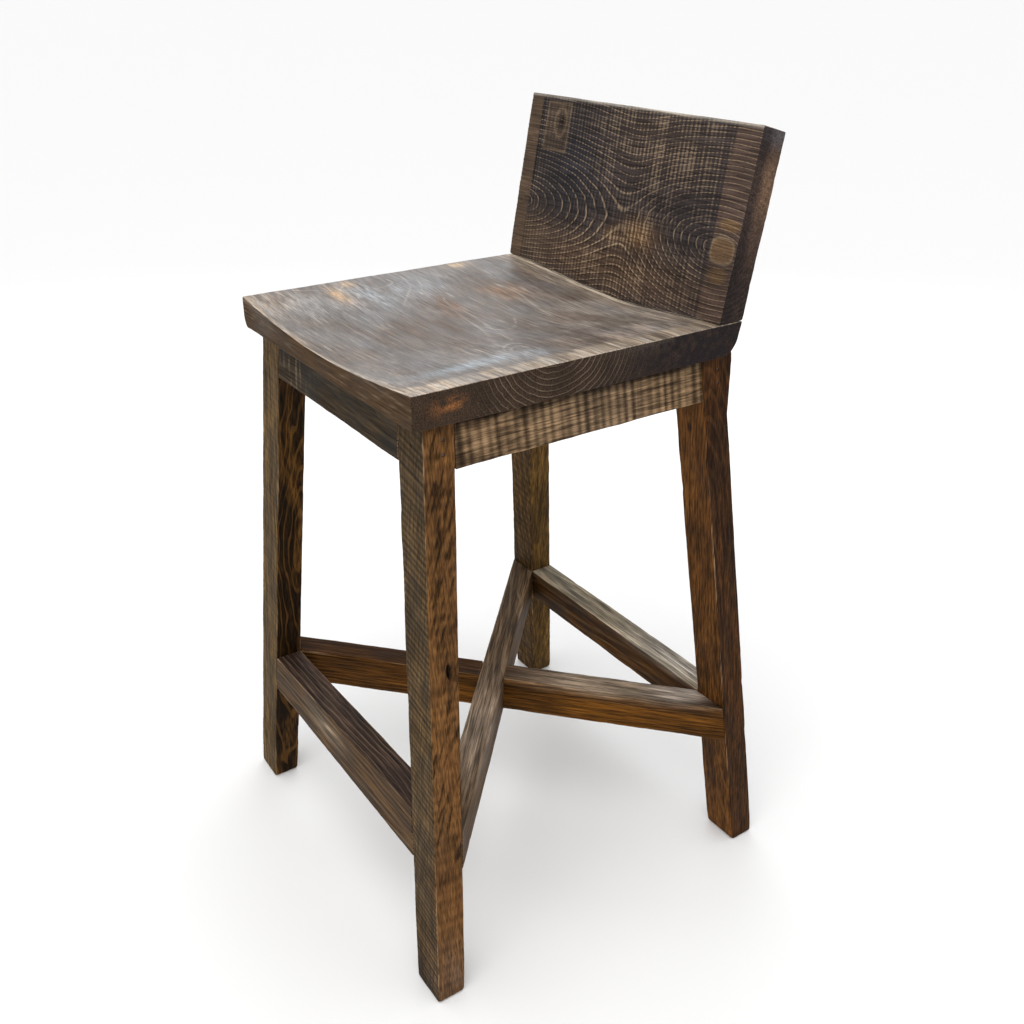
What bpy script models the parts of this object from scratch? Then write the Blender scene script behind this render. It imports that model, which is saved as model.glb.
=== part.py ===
"""Rustic bar stool with a footrest: four splayed legs, a scooped plank seat and a low leaning backrest.

Units are metres, +Z is up.  The front of the stool faces -Y, its right side is +X, and the origin is on
the floor under the middle of the footprint.  Every piece of timber, screw and nail is an object of its own.
"""

import math

import bmesh
import bpy
from mathutils import Matrix, Vector

# ---------------------------------------------------------------- driving dimensions

GAP = 0.0003                    # play left between two pieces that touch

SEAT_HEIGHT = 0.762             # floor to the seat's side edges
SEAT_THICKNESS = 0.039
SEAT_WIDTH = 0.432
SEAT_FRONT_Y = -0.233
SEAT_BOARDS = ("seat_board_front", "seat_board_middle", "seat_board_rear")
SEAT_EDGE_LEAN = math.radians(13.0)     # the sawn rear edge leans back this far
SEAT_REAR_ROUND = 0.019         # generous rounding of the lower arris along the rear edge
SCOOP_SLICES = 24               # steps across the width of the scooped top

SCOOP_DEPTH = (0.0157, 0.0100)  # at the front edge and at the backrest
SCOOP_CENTRE = (0.0, 0.042)     # where its deepest line crosses those two places
SCOOP_POWER = (1.0, 1.9)        # a wide trough in front, a narrower one behind

BACKREST_Y = 0.171              # its front face at seat height
BACKREST_LENGTH = 0.220         # measured up the slope
BACKREST_THICKNESS = 0.0366
BACKREST_LEAN = math.radians(10.9)
BACKREST_TOP_BEVEL = math.radians(5.0)  # the top edge is sawn between square and level

LEG_WIDTH = 0.0524              # across the stool
LEG_DEPTH = 0.038               # front to back
LEG_TOP_X = 0.2034              # outer face under the seat
LEG_FOOT_X = 0.2767             # outer face on the floor
FRONT_LEG_TOP_Y = -0.215        # front face under the seat
FRONT_LEG_FOOT_Y = -0.2656      # front face on the floor
REAR_LEG_FOOT_Y = 0.2656        # rear face on the floor
REAR_LEG_BEND_Y = 0.2034        # rear face where the leg bends back
REAR_LEG_BEND_Z = 0.646
REAR_LEG_TOP_Y = (0.1605, 0.2095)       # front and rear faces under the seat

APRON_BOTTOM = 0.669
APRON_THICKNESS = 0.036

STRETCHER_BOTTOM = 0.1768
STRETCHER_TOP = 0.2303
FOOTREST_RISE = 0.0145          # the footrest board is this much deeper at its right end
DIAGONAL_THICKNESS = 0.0362

BLOCK_HEIGHT = 0.036
BLOCK_NEAR = 0.028              # along each apron, from their inner corner to the block's outer face
BLOCK_FAR = 0.068               # the same to its inner face

NAIL_RADIUS = 0.0016
NAIL_SET = 0.0012               # nails are punched this far below the surface
NAIL_SIDES = 12
NAIL_GRIP = 0.034               # how far a nail reaches into the second piece
DIAGONAL_NAIL_GRIP = 0.017      # shorter, because the diagonals turn away from the nail
APRON_NAIL_HEIGHTS = (0.688, 0.704)
APRON_NAIL_INSET = 0.024        # from the leg's front or outer face
SIDE_NAIL_HEIGHT = 0.696
FOOTREST_NAIL_HEIGHT = 0.217
DIAGONAL_NAIL_HEIGHT = 0.192

SCREW_SIDES = 16
SEAT_SCREW = (0.0022, 0.0042, 0.058)        # shank radius, head radius, length
BACKREST_SCREW = (0.0028, 0.0052, 0.092)
LAP_SCREW = (0.0020, 0.0038, 0.040)
BACKREST_SCREW_X = (-0.150, -0.050, 0.050, 0.150)
SCREW_RECESS = 0.0040           # heads sit this far below the surface

COLOURS = {                     # linear base colour, roughness, metallic
    "seat_wood": ((0.150, 0.105, 0.080), 0.48, 0.0),
    "backrest_wood": ((0.060, 0.038, 0.028), 0.62, 0.0),
    "leg_wood": ((0.110, 0.062, 0.030), 0.66, 0.0),
    "apron_wood": ((0.125, 0.078, 0.042), 0.72, 0.0),
    "stretcher_wood": ((0.130, 0.092, 0.068), 0.60, 0.0),
    "block_wood": ((0.420, 0.290, 0.170), 0.80, 0.0),
    "fastener_steel": ((0.230, 0.220, 0.205), 0.45, 1.0),
}

SEAT_UNDERSIDE = SEAT_HEIGHT - SEAT_THICKNESS
FRAME_TOP = SEAT_UNDERSIDE - GAP
ALONG_BACKREST = Vector((0.0, math.sin(BACKREST_LEAN), math.cos(BACKREST_LEAN)))
ACROSS_BACKREST = Vector((0.0, math.cos(BACKREST_LEAN), -math.sin(BACKREST_LEAN)))


# ---------------------------------------------------------------- lines that the frame follows

def mix(start, end, amount):
    """The value a given share of the way from start to end."""
    return start + (end - start) * amount


def outer_x(z):
    """Distance of a leg's outer side face from the middle of the stool at height z."""
    return mix(LEG_FOOT_X, LEG_TOP_X, z / SEAT_UNDERSIDE)


def inner_x(z):
    """The same for the leg's inner side face."""
    return outer_x(z) - LEG_WIDTH


def front_leg_y(z):
    """Front and rear faces of a front leg at height z."""
    face = mix(FRONT_LEG_FOOT_Y, FRONT_LEG_TOP_Y, z / SEAT_UNDERSIDE)
    return face, face + LEG_DEPTH


def rear_leg_y(z):
    """Front and rear faces of a rear leg at height z.  Above the bend it widens and leans back."""
    if z <= REAR_LEG_BEND_Z:
        face = mix(REAR_LEG_FOOT_Y, REAR_LEG_BEND_Y, z / REAR_LEG_BEND_Z)
        return face - LEG_DEPTH, face
    rise = (z - REAR_LEG_BEND_Z) / (SEAT_UNDERSIDE - REAR_LEG_BEND_Z)
    front = mix(REAR_LEG_BEND_Y - LEG_DEPTH, REAR_LEG_TOP_Y[0], rise)
    return front, mix(REAR_LEG_BEND_Y, REAR_LEG_TOP_Y[1], rise)


def scoop(x, y):
    """How far the seat's top is hollowed out below its side edges at a point."""
    back = (y - SEAT_FRONT_Y) / (BACKREST_Y - SEAT_FRONT_Y)
    centre = mix(*SCOOP_CENTRE, back)
    half = SEAT_WIDTH / 2 - math.copysign(centre, x - centre)
    trough = max(math.cos(math.pi / 2 * (x - centre) / half), 0.0)
    return mix(*SCOOP_DEPTH, back) * trough ** mix(*SCOOP_POWER, back)


def seat_top(x, y):
    """Height of the seat's top surface."""
    return SEAT_HEIGHT - scoop(x, y)


# ---------------------------------------------------------------- modelling helpers

def clear_scene():
    """Remove every object that the file holds."""
    for item in list(bpy.data.objects):
        bpy.data.objects.remove(item, do_unlink=True)


def new_collection(name):
    """A fresh collection linked to the scene."""
    group = bpy.data.collections.new(name)
    bpy.context.scene.collection.children.link(group)
    return group


def wood_material(name):
    """A plain Principled material from the colour table."""
    colour, roughness, metallic = COLOURS[name]
    material = bpy.data.materials.new(name)
    material.use_nodes = True
    shader = material.node_tree.nodes["Principled BSDF"]
    shader.inputs["Base Color"].default_value = (*colour, 1.0)
    shader.inputs["Roughness"].default_value = roughness
    shader.inputs["Metallic"].default_value = metallic
    material.diffuse_color = (*colour, 1.0)
    return material


def add_object(name, mesh, slot):
    """An object for a mesh, in the stool's collection and with its own copy of the slot's material."""
    item = bpy.data.objects.new(name, mesh)
    mesh.materials.append(wood_material(slot))
    stool.objects.link(item)
    return item


def mesh_from(bm, name):
    """Finish a bmesh as mesh data with outward faces."""
    bmesh.ops.recalc_face_normals(bm, faces=bm.faces)
    mesh = bpy.data.meshes.new(name)
    bm.to_mesh(mesh)
    bm.free()
    return mesh


def block_mesh(name, corner, bends=(), slices=0):
    """A cube whose vertices are moved by corner(right, back, high), each argument running from 0 to 1.

    bends are shares of the height, and slices the number of strips across the width, where the cube is
    cut first so that it can follow a bend or a curve.
    """
    bm = bmesh.new()
    bmesh.ops.create_cube(bm, size=1.0, matrix=Matrix.Translation((0.5, 0.5, 0.5)))
    cuts = [((0.0, 0.0, share), (0.0, 0.0, 1.0)) for share in bends]
    cuts += [((step / slices, 0.0, 0.0), (1.0, 0.0, 0.0)) for step in range(1, slices)]
    for place, normal in cuts:
        everything = bm.verts[:] + bm.edges[:] + bm.faces[:]
        bmesh.ops.bisect_plane(bm, geom=everything, plane_co=place, plane_no=normal)
    for vert in bm.verts:
        vert.co = corner(*vert.co)
    return mesh_from(bm, name)


def add_block(name, slot, corner, bends=(), slices=0):
    """A piece of timber made by block_mesh."""
    return add_object(name, block_mesh(name, corner, bends, slices), slot)


def add_cutter(name, mesh):
    """A hidden object that Boolean modifiers subtract."""
    item = bpy.data.objects.new(name, mesh)
    item.hide_render = True
    item.display_type = "WIRE"
    cutters.objects.link(item)
    return item


def subtract(piece, cutter):
    """Cut one object out of another."""
    boolean = piece.modifiers.new(cutter.name, "BOOLEAN")
    boolean.operation = "DIFFERENCE"
    boolean.solver = "EXACT"
    boolean.object = cutter


def aim(item, start, direction):
    """Place an object that is modelled from its origin along +Z."""
    item.location = start
    item.rotation_euler = Vector(direction).to_track_quat("Z", "Y").to_euler()


def rod_mesh(name, radius, low, high, sides):
    """A closed cylinder on +Z from low to high."""
    bm = bmesh.new()
    middle = Matrix.Translation((0.0, 0.0, (low + high) / 2))
    bmesh.ops.create_cone(
        bm, cap_ends=True, segments=sides, radius1=radius, radius2=radius, depth=high - low, matrix=middle)
    return mesh_from(bm, name)


def screw_profile(shank, head, length):
    """Half section of a countersunk screw with its tip up, from the tip round to the head's middle."""
    cone = head - shank
    return [
        (0.0, length), (shank * 0.35, length - shank), (shank, length - 3 * shank),
        (shank, cone + 0.0008), (head, 0.0008), (head, 0.0), (0.0, 0.0)]


def turned_mesh(name, profile, sides):
    """A solid of revolution about +Z, spun from a half section of (radius, height) points."""
    bm = bmesh.new()
    verts = [bm.verts.new((radius, 0.0, height)) for radius, height in profile]
    edges = [bm.edges.new(pair) for pair in zip(verts, verts[1:])]
    bmesh.ops.spin(
        bm, geom=verts + edges, cent=(0, 0, 0), axis=(0, 0, 1), angle=2 * math.pi,
        steps=sides, use_merge=True)
    bmesh.ops.remove_doubles(bm, verts=bm.verts, dist=0.00001)
    return mesh_from(bm, name)


def drive_nail(name, start, direction, length, pieces):
    """A finish nail punched below a face, with a hole for it in each piece that it passes through."""
    nail = add_object(name, rod_mesh(name, NAIL_RADIUS, NAIL_SET, length, NAIL_SIDES), "fastener_steel")
    aim(nail, start, direction)
    hole = rod_mesh(name + "_hole", NAIL_RADIUS + 1.2 * GAP, -0.006, length + GAP, NAIL_SIDES)
    cutter = add_cutter(name + "_hole", hole)
    aim(cutter, start, direction)
    for piece in pieces:
        subtract(piece, cutter)


def drive_screw(name, size, start, direction, pieces):
    """A countersunk screw whose head sits in a counterbore, with its hole through the pieces."""
    shank, head, length = size
    inside = Vector(start) + Vector(direction).normalized() * SCREW_RECESS
    screw = add_object(name, turned_mesh(name, screw_profile(*size), SCREW_SIDES), "fastener_steel")
    aim(screw, inside, direction)
    play = 1.2 * GAP
    bore = screw_profile(shank + play, head + play, length + play)
    bore[-2:] = [(head + play, -SCREW_RECESS - 0.004), (0.0, -SCREW_RECESS - 0.004)]
    cutter = add_cutter(name + "_hole", turned_mesh(name + "_hole", bore, SCREW_SIDES))
    aim(cutter, inside, direction)
    for piece in pieces:
        subtract(piece, cutter)


# ---------------------------------------------------------------- seat and backrest

def seat_rear_edge(z):
    """Y of the seat's leaning rear edge at height z.  It meets the backrest's back face at the top."""
    top = BACKREST_Y + BACKREST_THICKNESS / math.cos(BACKREST_LEAN)
    return top - (SEAT_HEIGHT - z) * math.tan(SEAT_EDGE_LEAN)


def make_seat():
    """Three edge-glued boards with the scoop carved across them."""
    rear = seat_rear_edge(SEAT_HEIGHT)
    board_width = (rear - SEAT_FRONT_Y) / len(SEAT_BOARDS)
    boards = []
    for index, name in enumerate(SEAT_BOARDS):
        last = index == len(SEAT_BOARDS) - 1
        front_y = SEAT_FRONT_Y + index * board_width + (GAP if index else 0.0)
        back_y = SEAT_FRONT_Y + (index + 1) * board_width

        def corner(right, back, high, front_y=front_y, back_y=back_y, last=last):
            x = mix(-SEAT_WIDTH / 2, SEAT_WIDTH / 2, right)
            y = mix(front_y, back_y, back)
            z = mix(SEAT_UNDERSIDE, seat_top(x, y), high)
            if last and back > 0.5:
                y = seat_rear_edge(z)
            return Vector((x, y, z))

        board = add_block(name, "seat_wood", corner, slices=SCOOP_SLICES)
        if last:
            round_lower_rear_arris(board.data)
        boards.append(board)
    return boards


def round_lower_rear_arris(mesh):
    """Round the long lower edge at the back of the seat."""
    bm = bmesh.new()
    bm.from_mesh(mesh)
    rearmost = seat_rear_edge(SEAT_UNDERSIDE) - 0.001

    def on_arris(vert):
        return vert.co.z < SEAT_UNDERSIDE + 0.001 and vert.co.y > rearmost

    arris = [edge for edge in bm.edges if all(on_arris(vert) for vert in edge.verts)]
    bmesh.ops.bevel(bm, geom=arris, offset=SEAT_REAR_ROUND, segments=6, profile=0.5, affect="EDGES")
    bmesh.ops.recalc_face_normals(bm, faces=bm.faces)
    bm.to_mesh(mesh)
    bm.free()


def make_backrest():
    """One leaning plank whose lower edge is scribed to the scoop of the seat."""
    def corner(right, back, high):
        x = mix(-SEAT_WIDTH / 2, SEAT_WIDTH / 2, right)
        foot = Vector((x, BACKREST_Y, SEAT_HEIGHT))
        rise = BACKREST_LENGTH - back * BACKREST_THICKNESS * math.tan(BACKREST_TOP_BEVEL)
        top = foot + ALONG_BACKREST * rise + ACROSS_BACKREST * (BACKREST_THICKNESS * back)
        low_z = seat_top(x, top.y) + GAP
        for _ in range(4):
            low_y = top.y - (top.z - low_z) * math.tan(BACKREST_LEAN)
            low_z = seat_top(x, low_y) + GAP
        low = Vector((x, low_y, low_z))
        return low.lerp(top, high)

    return add_block("backrest_plank", "backrest_wood", corner, slices=SCOOP_SLICES)


def screw_backrest(seat_board, plank):
    """Long screws from under the seat up into the middle of the plank's thickness."""
    middle = BACKREST_Y + BACKREST_THICKNESS / 2 / math.cos(BACKREST_LEAN)
    start_y = middle - SEAT_THICKNESS * math.tan(BACKREST_LEAN)
    for index, x in enumerate(BACKREST_SCREW_X, start=1):
        start = (x, start_y, SEAT_UNDERSIDE)
        drive_screw(f"backrest_screw_{index}", BACKREST_SCREW, start, ALONG_BACKREST, [seat_board, plank])


# ---------------------------------------------------------------- legs, aprons and stretchers

def make_leg(name, side, faces_y, bends=()):
    """A leg on one side of the stool, whose front and rear faces are given by faces_y(z)."""
    def corner(right, back, high):
        z = FRAME_TOP * high
        x = outer_x(z) - LEG_WIDTH * (1.0 - right if side > 0 else right)
        return Vector((side * x, mix(*faces_y(z), back), z))

    return add_block(name, "leg_wood", corner, bends=bends)


def make_cross_board(name, slot, faces_y, bottom, top, rise=0.0):
    """A board between a left and a right leg.  rise lifts the right end of its top edge."""
    def corner(right, back, high):
        z = mix(bottom, top + rise * right, high)
        reach = inner_x(z) - GAP
        return Vector((mix(-reach, reach, right), mix(*faces_y(z), back), z))

    return add_block(name, slot, corner)


def make_side_apron(name, side):
    """An apron between a front and a rear leg, flush with their outer faces."""
    def corner(right, back, high):
        z = mix(APRON_BOTTOM, FRAME_TOP, high)
        inward = APRON_THICKNESS * (1.0 - right if side > 0 else right)
        y = mix(front_leg_y(z)[1] + GAP, rear_leg_y(z)[0] - GAP, back)
        return Vector((side * (outer_x(z) - inward), y, z))

    return add_block(name, "apron_wood", corner)


def diagonal_corner(side, half, bottom, top, trim=0.0):
    """A corner function for a bar from the front leg on one side to the rear leg on the other.

    half is half the bar's thickness, and trim pulls its ends back from the legs.
    """
    middle = (STRETCHER_BOTTOM + STRETCHER_TOP) / 2
    reach = outer_x(middle) - LEG_WIDTH / 2
    front = Vector((side * reach, front_leg_y(middle)[1]))
    rear = Vector((-side * reach, rear_leg_y(middle)[0]))
    run = (rear - front).normalized()
    sideways = Vector((run.y, -run.x))

    def corner(right, back, high):
        z = mix(bottom, top, high)
        y = mix(front_leg_y(z)[1] + trim, rear_leg_y(z)[0] - trim, back)
        line = front + sideways * mix(-half, half, right)
        return Vector((line.x + run.x / run.y * (y - line.y), y, z))

    return corner


def make_diagonals():
    """Two bars that cross in a flush half-lap.  The one from the front right leg runs over the top."""
    half = DIAGONAL_THICKNESS / 2
    middle = (STRETCHER_BOTTOM + STRETCHER_TOP) / 2
    bars = {}
    for name, side in (("diagonal_front_right", 1), ("diagonal_front_left", -1)):
        shape = diagonal_corner(side, half, STRETCHER_BOTTOM, STRETCHER_TOP, trim=GAP)
        bars[name] = add_block(name, "stretcher_wood", shape)
    notches = (
        ("diagonal_front_right", -1, STRETCHER_BOTTOM - 0.01, middle + GAP / 2),
        ("diagonal_front_left", 1, middle - GAP / 2, STRETCHER_TOP + 0.01))
    for name, crossing_side, low, high in notches:
        shape = diagonal_corner(crossing_side, half + GAP, low, high)
        subtract(bars[name], add_cutter(name + "_notch", block_mesh(name + "_notch", shape)))
    return bars


def apron_inner_corner(side, rear, z):
    """Where the inner faces of a side apron and of the front or rear apron meet, in plan."""
    x = side * (outer_x(z) - APRON_THICKNESS - GAP)
    if rear:
        return x, rear_leg_y(z)[0] - GAP
    return x, front_leg_y(z)[0] + APRON_THICKNESS + GAP


def make_corner_block(name, side, rear):
    """A mitred block glued across the inner corner of two aprons."""
    inward_y = -1 if rear else 1

    def corner(right, back, high):
        z = mix(FRAME_TOP - BLOCK_HEIGHT, FRAME_TOP, high)
        x, y = apron_inner_corner(side, rear, z)
        reach = mix(BLOCK_NEAR, BLOCK_FAR, back)
        return Vector((x - side * reach * right, y + inward_y * reach * (1.0 - right), z))

    return add_block(name, "block_wood", corner)


# ---------------------------------------------------------------- fastening the frame

def nail_sideways(name, side, y, z, pieces):
    """A nail through a leg's outer side face into the end of a board between the legs."""
    start = (side * outer_x(z), y, z)
    drive_nail(name, start, (-side, 0.0, 0.0), LEG_WIDTH + NAIL_GRIP, pieces)


def nail_lengthways(name, x, z, rear, grip, pieces):
    """A nail through a leg's front or rear face into the end of a piece behind or before it."""
    near, far = (rear_leg_y if rear else front_leg_y)(z)
    start = (x, far if rear else near, z)
    drive_nail(name, start, (0.0, -1.0 if rear else 1.0, 0.0), far - near + grip, pieces)


def fasten_corner(side, rear, leg, rails):
    """Nail the two aprons, the stretcher and the diagonal that meet at one leg."""
    end = ("rear_" if rear else "front_") + ("right" if side > 0 else "left")
    faces_y = rear_leg_y if rear else front_leg_y
    for count, z in enumerate(APRON_NAIL_HEIGHTS, start=1):
        y = faces_y(z)[0] + APRON_NAIL_INSET
        nail_sideways(f"apron_nail_{end}_{count}", side, y, z, [leg, rails["apron"]])
    x = side * (outer_x(SIDE_NAIL_HEIGHT) - APRON_NAIL_INSET)
    nail_lengthways(
        f"side_apron_nail_{end}", x, SIDE_NAIL_HEIGHT, rear, NAIL_GRIP, [leg, rails["side_apron"]])
    y = sum(faces_y(FOOTREST_NAIL_HEIGHT)) / 2
    nail_sideways(f"stretcher_nail_{end}", side, y, FOOTREST_NAIL_HEIGHT, [leg, rails["stretcher"]])
    x = side * (outer_x(DIAGONAL_NAIL_HEIGHT) - LEG_WIDTH / 2)
    nail_lengthways(
        f"diagonal_nail_{end}", x, DIAGONAL_NAIL_HEIGHT, rear, DIAGONAL_NAIL_GRIP, [leg, rails["diagonal"]])


def screw_block(end, side, rear, block, seat_board):
    """A screw up through a corner block into the underside of the seat."""
    bottom = FRAME_TOP - BLOCK_HEIGHT
    x, y = apron_inner_corner(side, rear, bottom)
    middle = (BLOCK_NEAR + BLOCK_FAR) / 4
    start = (x - side * middle, y + (-middle if rear else middle), bottom)
    drive_screw(f"seat_screw_{end}", SEAT_SCREW, start, (0.0, 0.0, 1.0), [block, seat_board])


def crossing_y():
    """Y of the point where the two diagonals cross on the stool's middle plane."""
    middle = (STRETCHER_BOTTOM + STRETCHER_TOP) / 2
    return (front_leg_y(middle)[1] + rear_leg_y(middle)[0]) / 2


def make_frame(seat_front, seat_rear):
    """Build the base and fasten it to the two outer seat boards."""
    aprons = {
        False: make_cross_board(
            "apron_front", "apron_wood", lambda z: (front_leg_y(z)[0], front_leg_y(z)[0] + APRON_THICKNESS),
            APRON_BOTTOM, FRAME_TOP),
        True: make_cross_board(
            "apron_rear", "apron_wood", lambda z: (rear_leg_y(z)[0], rear_leg_y(z)[0] + APRON_THICKNESS),
            APRON_BOTTOM, FRAME_TOP)}
    stretchers = {
        False: make_cross_board(
            "footrest", "stretcher_wood", front_leg_y, STRETCHER_BOTTOM, STRETCHER_TOP, FOOTREST_RISE),
        True: make_cross_board(
            "stretcher_rear", "stretcher_wood", rear_leg_y, STRETCHER_BOTTOM, STRETCHER_TOP)}
    side_aprons = {1: make_side_apron("apron_right", 1), -1: make_side_apron("apron_left", -1)}
    diagonals = make_diagonals()
    bend = REAR_LEG_BEND_Z / FRAME_TOP
    for rear in (False, True):
        for side in (1, -1):
            end = ("rear_" if rear else "front_") + ("right" if side > 0 else "left")
            faces_y = rear_leg_y if rear else front_leg_y
            leg = make_leg("leg_" + end, side, faces_y, bends=(bend,) if rear else ())
            front_side = -side if rear else side
            diagonal = diagonals["diagonal_front_right" if front_side > 0 else "diagonal_front_left"]
            rails = {
                "apron": aprons[rear], "stretcher": stretchers[rear],
                "side_apron": side_aprons[side], "diagonal": diagonal}
            fasten_corner(side, rear, leg, rails)
            block = make_corner_block("corner_block_" + end, side, rear)
            screw_block(end, side, rear, block, seat_rear if rear else seat_front)
    lap_start = (0.0, crossing_y(), STRETCHER_BOTTOM)
    drive_screw("lap_screw", LAP_SCREW, lap_start, (0.0, 0.0, 1.0), list(diagonals.values()))


clear_scene()
stool = new_collection("bar_stool")
cutters = new_collection("cutters")
seat_boards = make_seat()
backrest = make_backrest()
screw_backrest(seat_boards[-1], backrest)
make_frame(seat_boards[0], seat_boards[-1])
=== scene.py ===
"""Looks of the rustic bar stool: rough-sawn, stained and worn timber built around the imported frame.

Every timber of the frame is rebuilt as a fine mesh inside the shape of its CAD node, with uneven worn
arrises, saw marks, raised grain and knots as geometry.  The same fields that shape a surface are stored on
its vertices, and the wood materials read them, so colour and relief agree.
"""

import math
from dataclasses import dataclass, field
from types import SimpleNamespace

import bpy
import numpy as np
from mathutils import Matrix, Vector


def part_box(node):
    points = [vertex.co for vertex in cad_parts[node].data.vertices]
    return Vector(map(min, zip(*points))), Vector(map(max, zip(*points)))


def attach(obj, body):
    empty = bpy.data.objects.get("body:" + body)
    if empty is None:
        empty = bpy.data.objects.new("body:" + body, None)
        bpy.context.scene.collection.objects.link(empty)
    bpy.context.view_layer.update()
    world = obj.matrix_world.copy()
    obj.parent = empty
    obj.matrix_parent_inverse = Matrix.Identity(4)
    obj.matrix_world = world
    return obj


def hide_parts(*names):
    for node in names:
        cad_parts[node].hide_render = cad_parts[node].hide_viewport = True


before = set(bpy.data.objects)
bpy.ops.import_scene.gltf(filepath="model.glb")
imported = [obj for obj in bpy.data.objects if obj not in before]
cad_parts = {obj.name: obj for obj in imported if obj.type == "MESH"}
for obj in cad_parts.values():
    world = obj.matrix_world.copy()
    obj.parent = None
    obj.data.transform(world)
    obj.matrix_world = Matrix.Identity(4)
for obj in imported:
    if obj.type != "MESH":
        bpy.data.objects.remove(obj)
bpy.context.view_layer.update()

# ---- sizes of the fine surface, in metres

GRID = 0.0023                   # spacing of surface points on a timber
SEAT_GRID = (0.0020, 0.0017, 0.0018)        # on the seat: along the grain, across it and up
TORN_GRID = (0.0022, 0.0014, 0.0014)        # on the leg with the torn grain
BACKREST_GRID = (0.0014, 0.0024, 0.0020)    # on the backrest: along, through and up
ARRIS = 0.0016                  # usual radius of a worn arris
ARRIS_LINES = (0.0005, 0.0011, 0.0018, 0.0027, 0.0040)     # grid lines beside each arris
HOLE_LINES = (0.0, 0.75, 1.0, 1.2, 1.5)     # grid lines through a hole, as shares of its radius
HOLE_DEPTH = 0.0024             # depth of the hole over a set nail head
HEAD_REACH = 0.0022             # depth below its outermost point within which a fastener is its head
FADE = 0.0028                   # distance from an arris over which its wear fades
GLUED_ARRIS = 0.02              # radius along a glue line, as a share of the usual one
WALL_STEP = 0.0002              # half the gap between the grid lines above and below a notch's wall
SAW_DEPTH = 0.00016             # half the height of a saw mark
UNEVEN = 0.00010                # half the height of the timber's general unevenness
CHIP_DEPTH = 0.0007             # small chips along the arrises
SEAT_REAR_ROUND = 0.019         # rounding of the seat's lower rear arris, as in the frame
SEAT_LEFT_ROUND = 0.010         # worn lower arris at the seat's left end

SIDES = {                       # outward direction of each named side of the stool
    "front": (0, -1, 0), "back": (0, 1, 0), "right": (1, 0, 0),
    "left": (-1, 0, 0), "top": (0, 0, 1), "bottom": (0, 0, -1)}


# ---- repeatable noise

def cell_value(cells, seed):
    """A repeatable number from 0 to 1 for every whole-numbered cell."""
    x, y, z = cells.astype(np.int64).T
    mixed = (x * 374761393 + y * 668265263 + z * 1440662683 + seed * 974634777) & 0xFFFFFFFF
    mixed = ((mixed ^ (mixed >> 13)) * 1274126177) & 0xFFFFFFFF
    return ((mixed ^ (mixed >> 16)) & 0xFFFFFF) / 0xFFFFFF


def noise(points, size, seed):
    """Smooth noise from -1 to 1 whose lumps measure size along each axis."""
    scaled = points / np.asarray(size, float)
    cell = np.floor(scaled)
    share = scaled - cell
    share = share * share * (3 - 2 * share)
    total = np.zeros(len(points))
    for corner in np.ndindex(2, 2, 2):
        weight = np.prod(np.where(corner, share, 1 - share), axis=1)
        total += weight * cell_value(cell + corner, seed)
    return total * 2 - 1


def fractal(points, size, seed, octaves=3):
    """Several layers of noise, each half as large and half as strong as the one before."""
    size = np.asarray(size, float)
    layers = [noise(points, size / 2 ** k, seed + 17 * k) * 0.5 ** k for k in range(octaves)]
    return sum(layers) / sum(0.5 ** k for k in range(octaves))


def ramp(values, low, high):
    """A smooth step from 0 at low to 1 at high."""
    share = np.clip((values - low) / (high - low), 0, 1)
    return share * share * (3 - 2 * share)


def blob(points, centre, size):
    """A soft spot of 1 at centre that fades out over size along each axis."""
    away = (points - np.asarray(centre, float)) / np.asarray(size, float)
    return np.exp(-np.sum(away * away, axis=1))


# ---- a timber's own frame and shape

def node_points(node):
    """The vertices of a CAD node."""
    return np.array([vertex.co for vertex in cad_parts[node].data.vertices])


def axes_of(along, across):
    """Three square axes as rows: along the grain, across it, and up out of the board."""
    along = np.array(along, float) / np.linalg.norm(along)
    across = np.array(across, float) - along * np.dot(across, along)
    across /= np.linalg.norm(across)
    return np.array([along, across, np.cross(along, across)])


def long_edges(node, axes):
    """The four long edges of a timber as lists of points: its corners, and its bend if it has one."""
    points = node_points(node)
    local = points @ axes.T
    low, high = local[:, 0].min(), local[:, 0].max()
    share = (local[:, 0] - low) / (high - low)
    stretches = [share < 0.35, (share > 0.5) & (share < 0.93), share > 0.65]
    edges = {}
    for side in (0, 1):
        for top in (0, 1):
            reach = 3 * (2 * side - 1) * local[:, 1] + 3 * (2 * top - 1) * local[:, 2]
            first = reach - local[:, 0]
            last = reach + local[:, 0]
            picks = [np.argmax(np.where(stretches[0], first, -np.inf))]
            if node.startswith("leg_rear"):
                picks.append(np.argmax(np.where(stretches[1], reach, -np.inf)))
            picks.append(np.argmax(np.where(stretches[2], last, -np.inf)))
            edges[side, top] = points[picks]
    return edges


def ruled_shape(edges):
    """A shape function that maps shares of the length, width and height to places between four edges."""
    stations = {}
    for key, line in edges.items():
        steps = np.linalg.norm(np.diff(line, axis=0), axis=1)
        stations[key] = np.concatenate([[0], np.cumsum(steps)]) / steps.sum()

    def place(u, v, w):
        total = 0
        for (side, top), line in edges.items():
            on_line = np.stack([np.interp(u, stations[side, top], line[:, k]) for k in range(3)], 1)
            weight = (v if side else 1 - v) * (w if top else 1 - w)
            total = total + on_line * weight[:, None]
        return total

    return place


def spot(place, u, v=0.5, w=0.5):
    """One place in a shape, from its shares of the length, width and height."""
    return place(*np.array([[u], [v], [w]], float))[0]


def edge_sizes(place):
    """Length, width and height of a shape through its middle."""
    sizes = []
    for axis in range(3):
        shares = np.full((2, 3), 0.5)
        shares[:, axis] = (0, 1)
        first, last = place(*shares.T)
        sizes.append(float(np.linalg.norm(last - first)))
    return np.array(sizes)


# ---- the grid that a surface is built on

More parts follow.
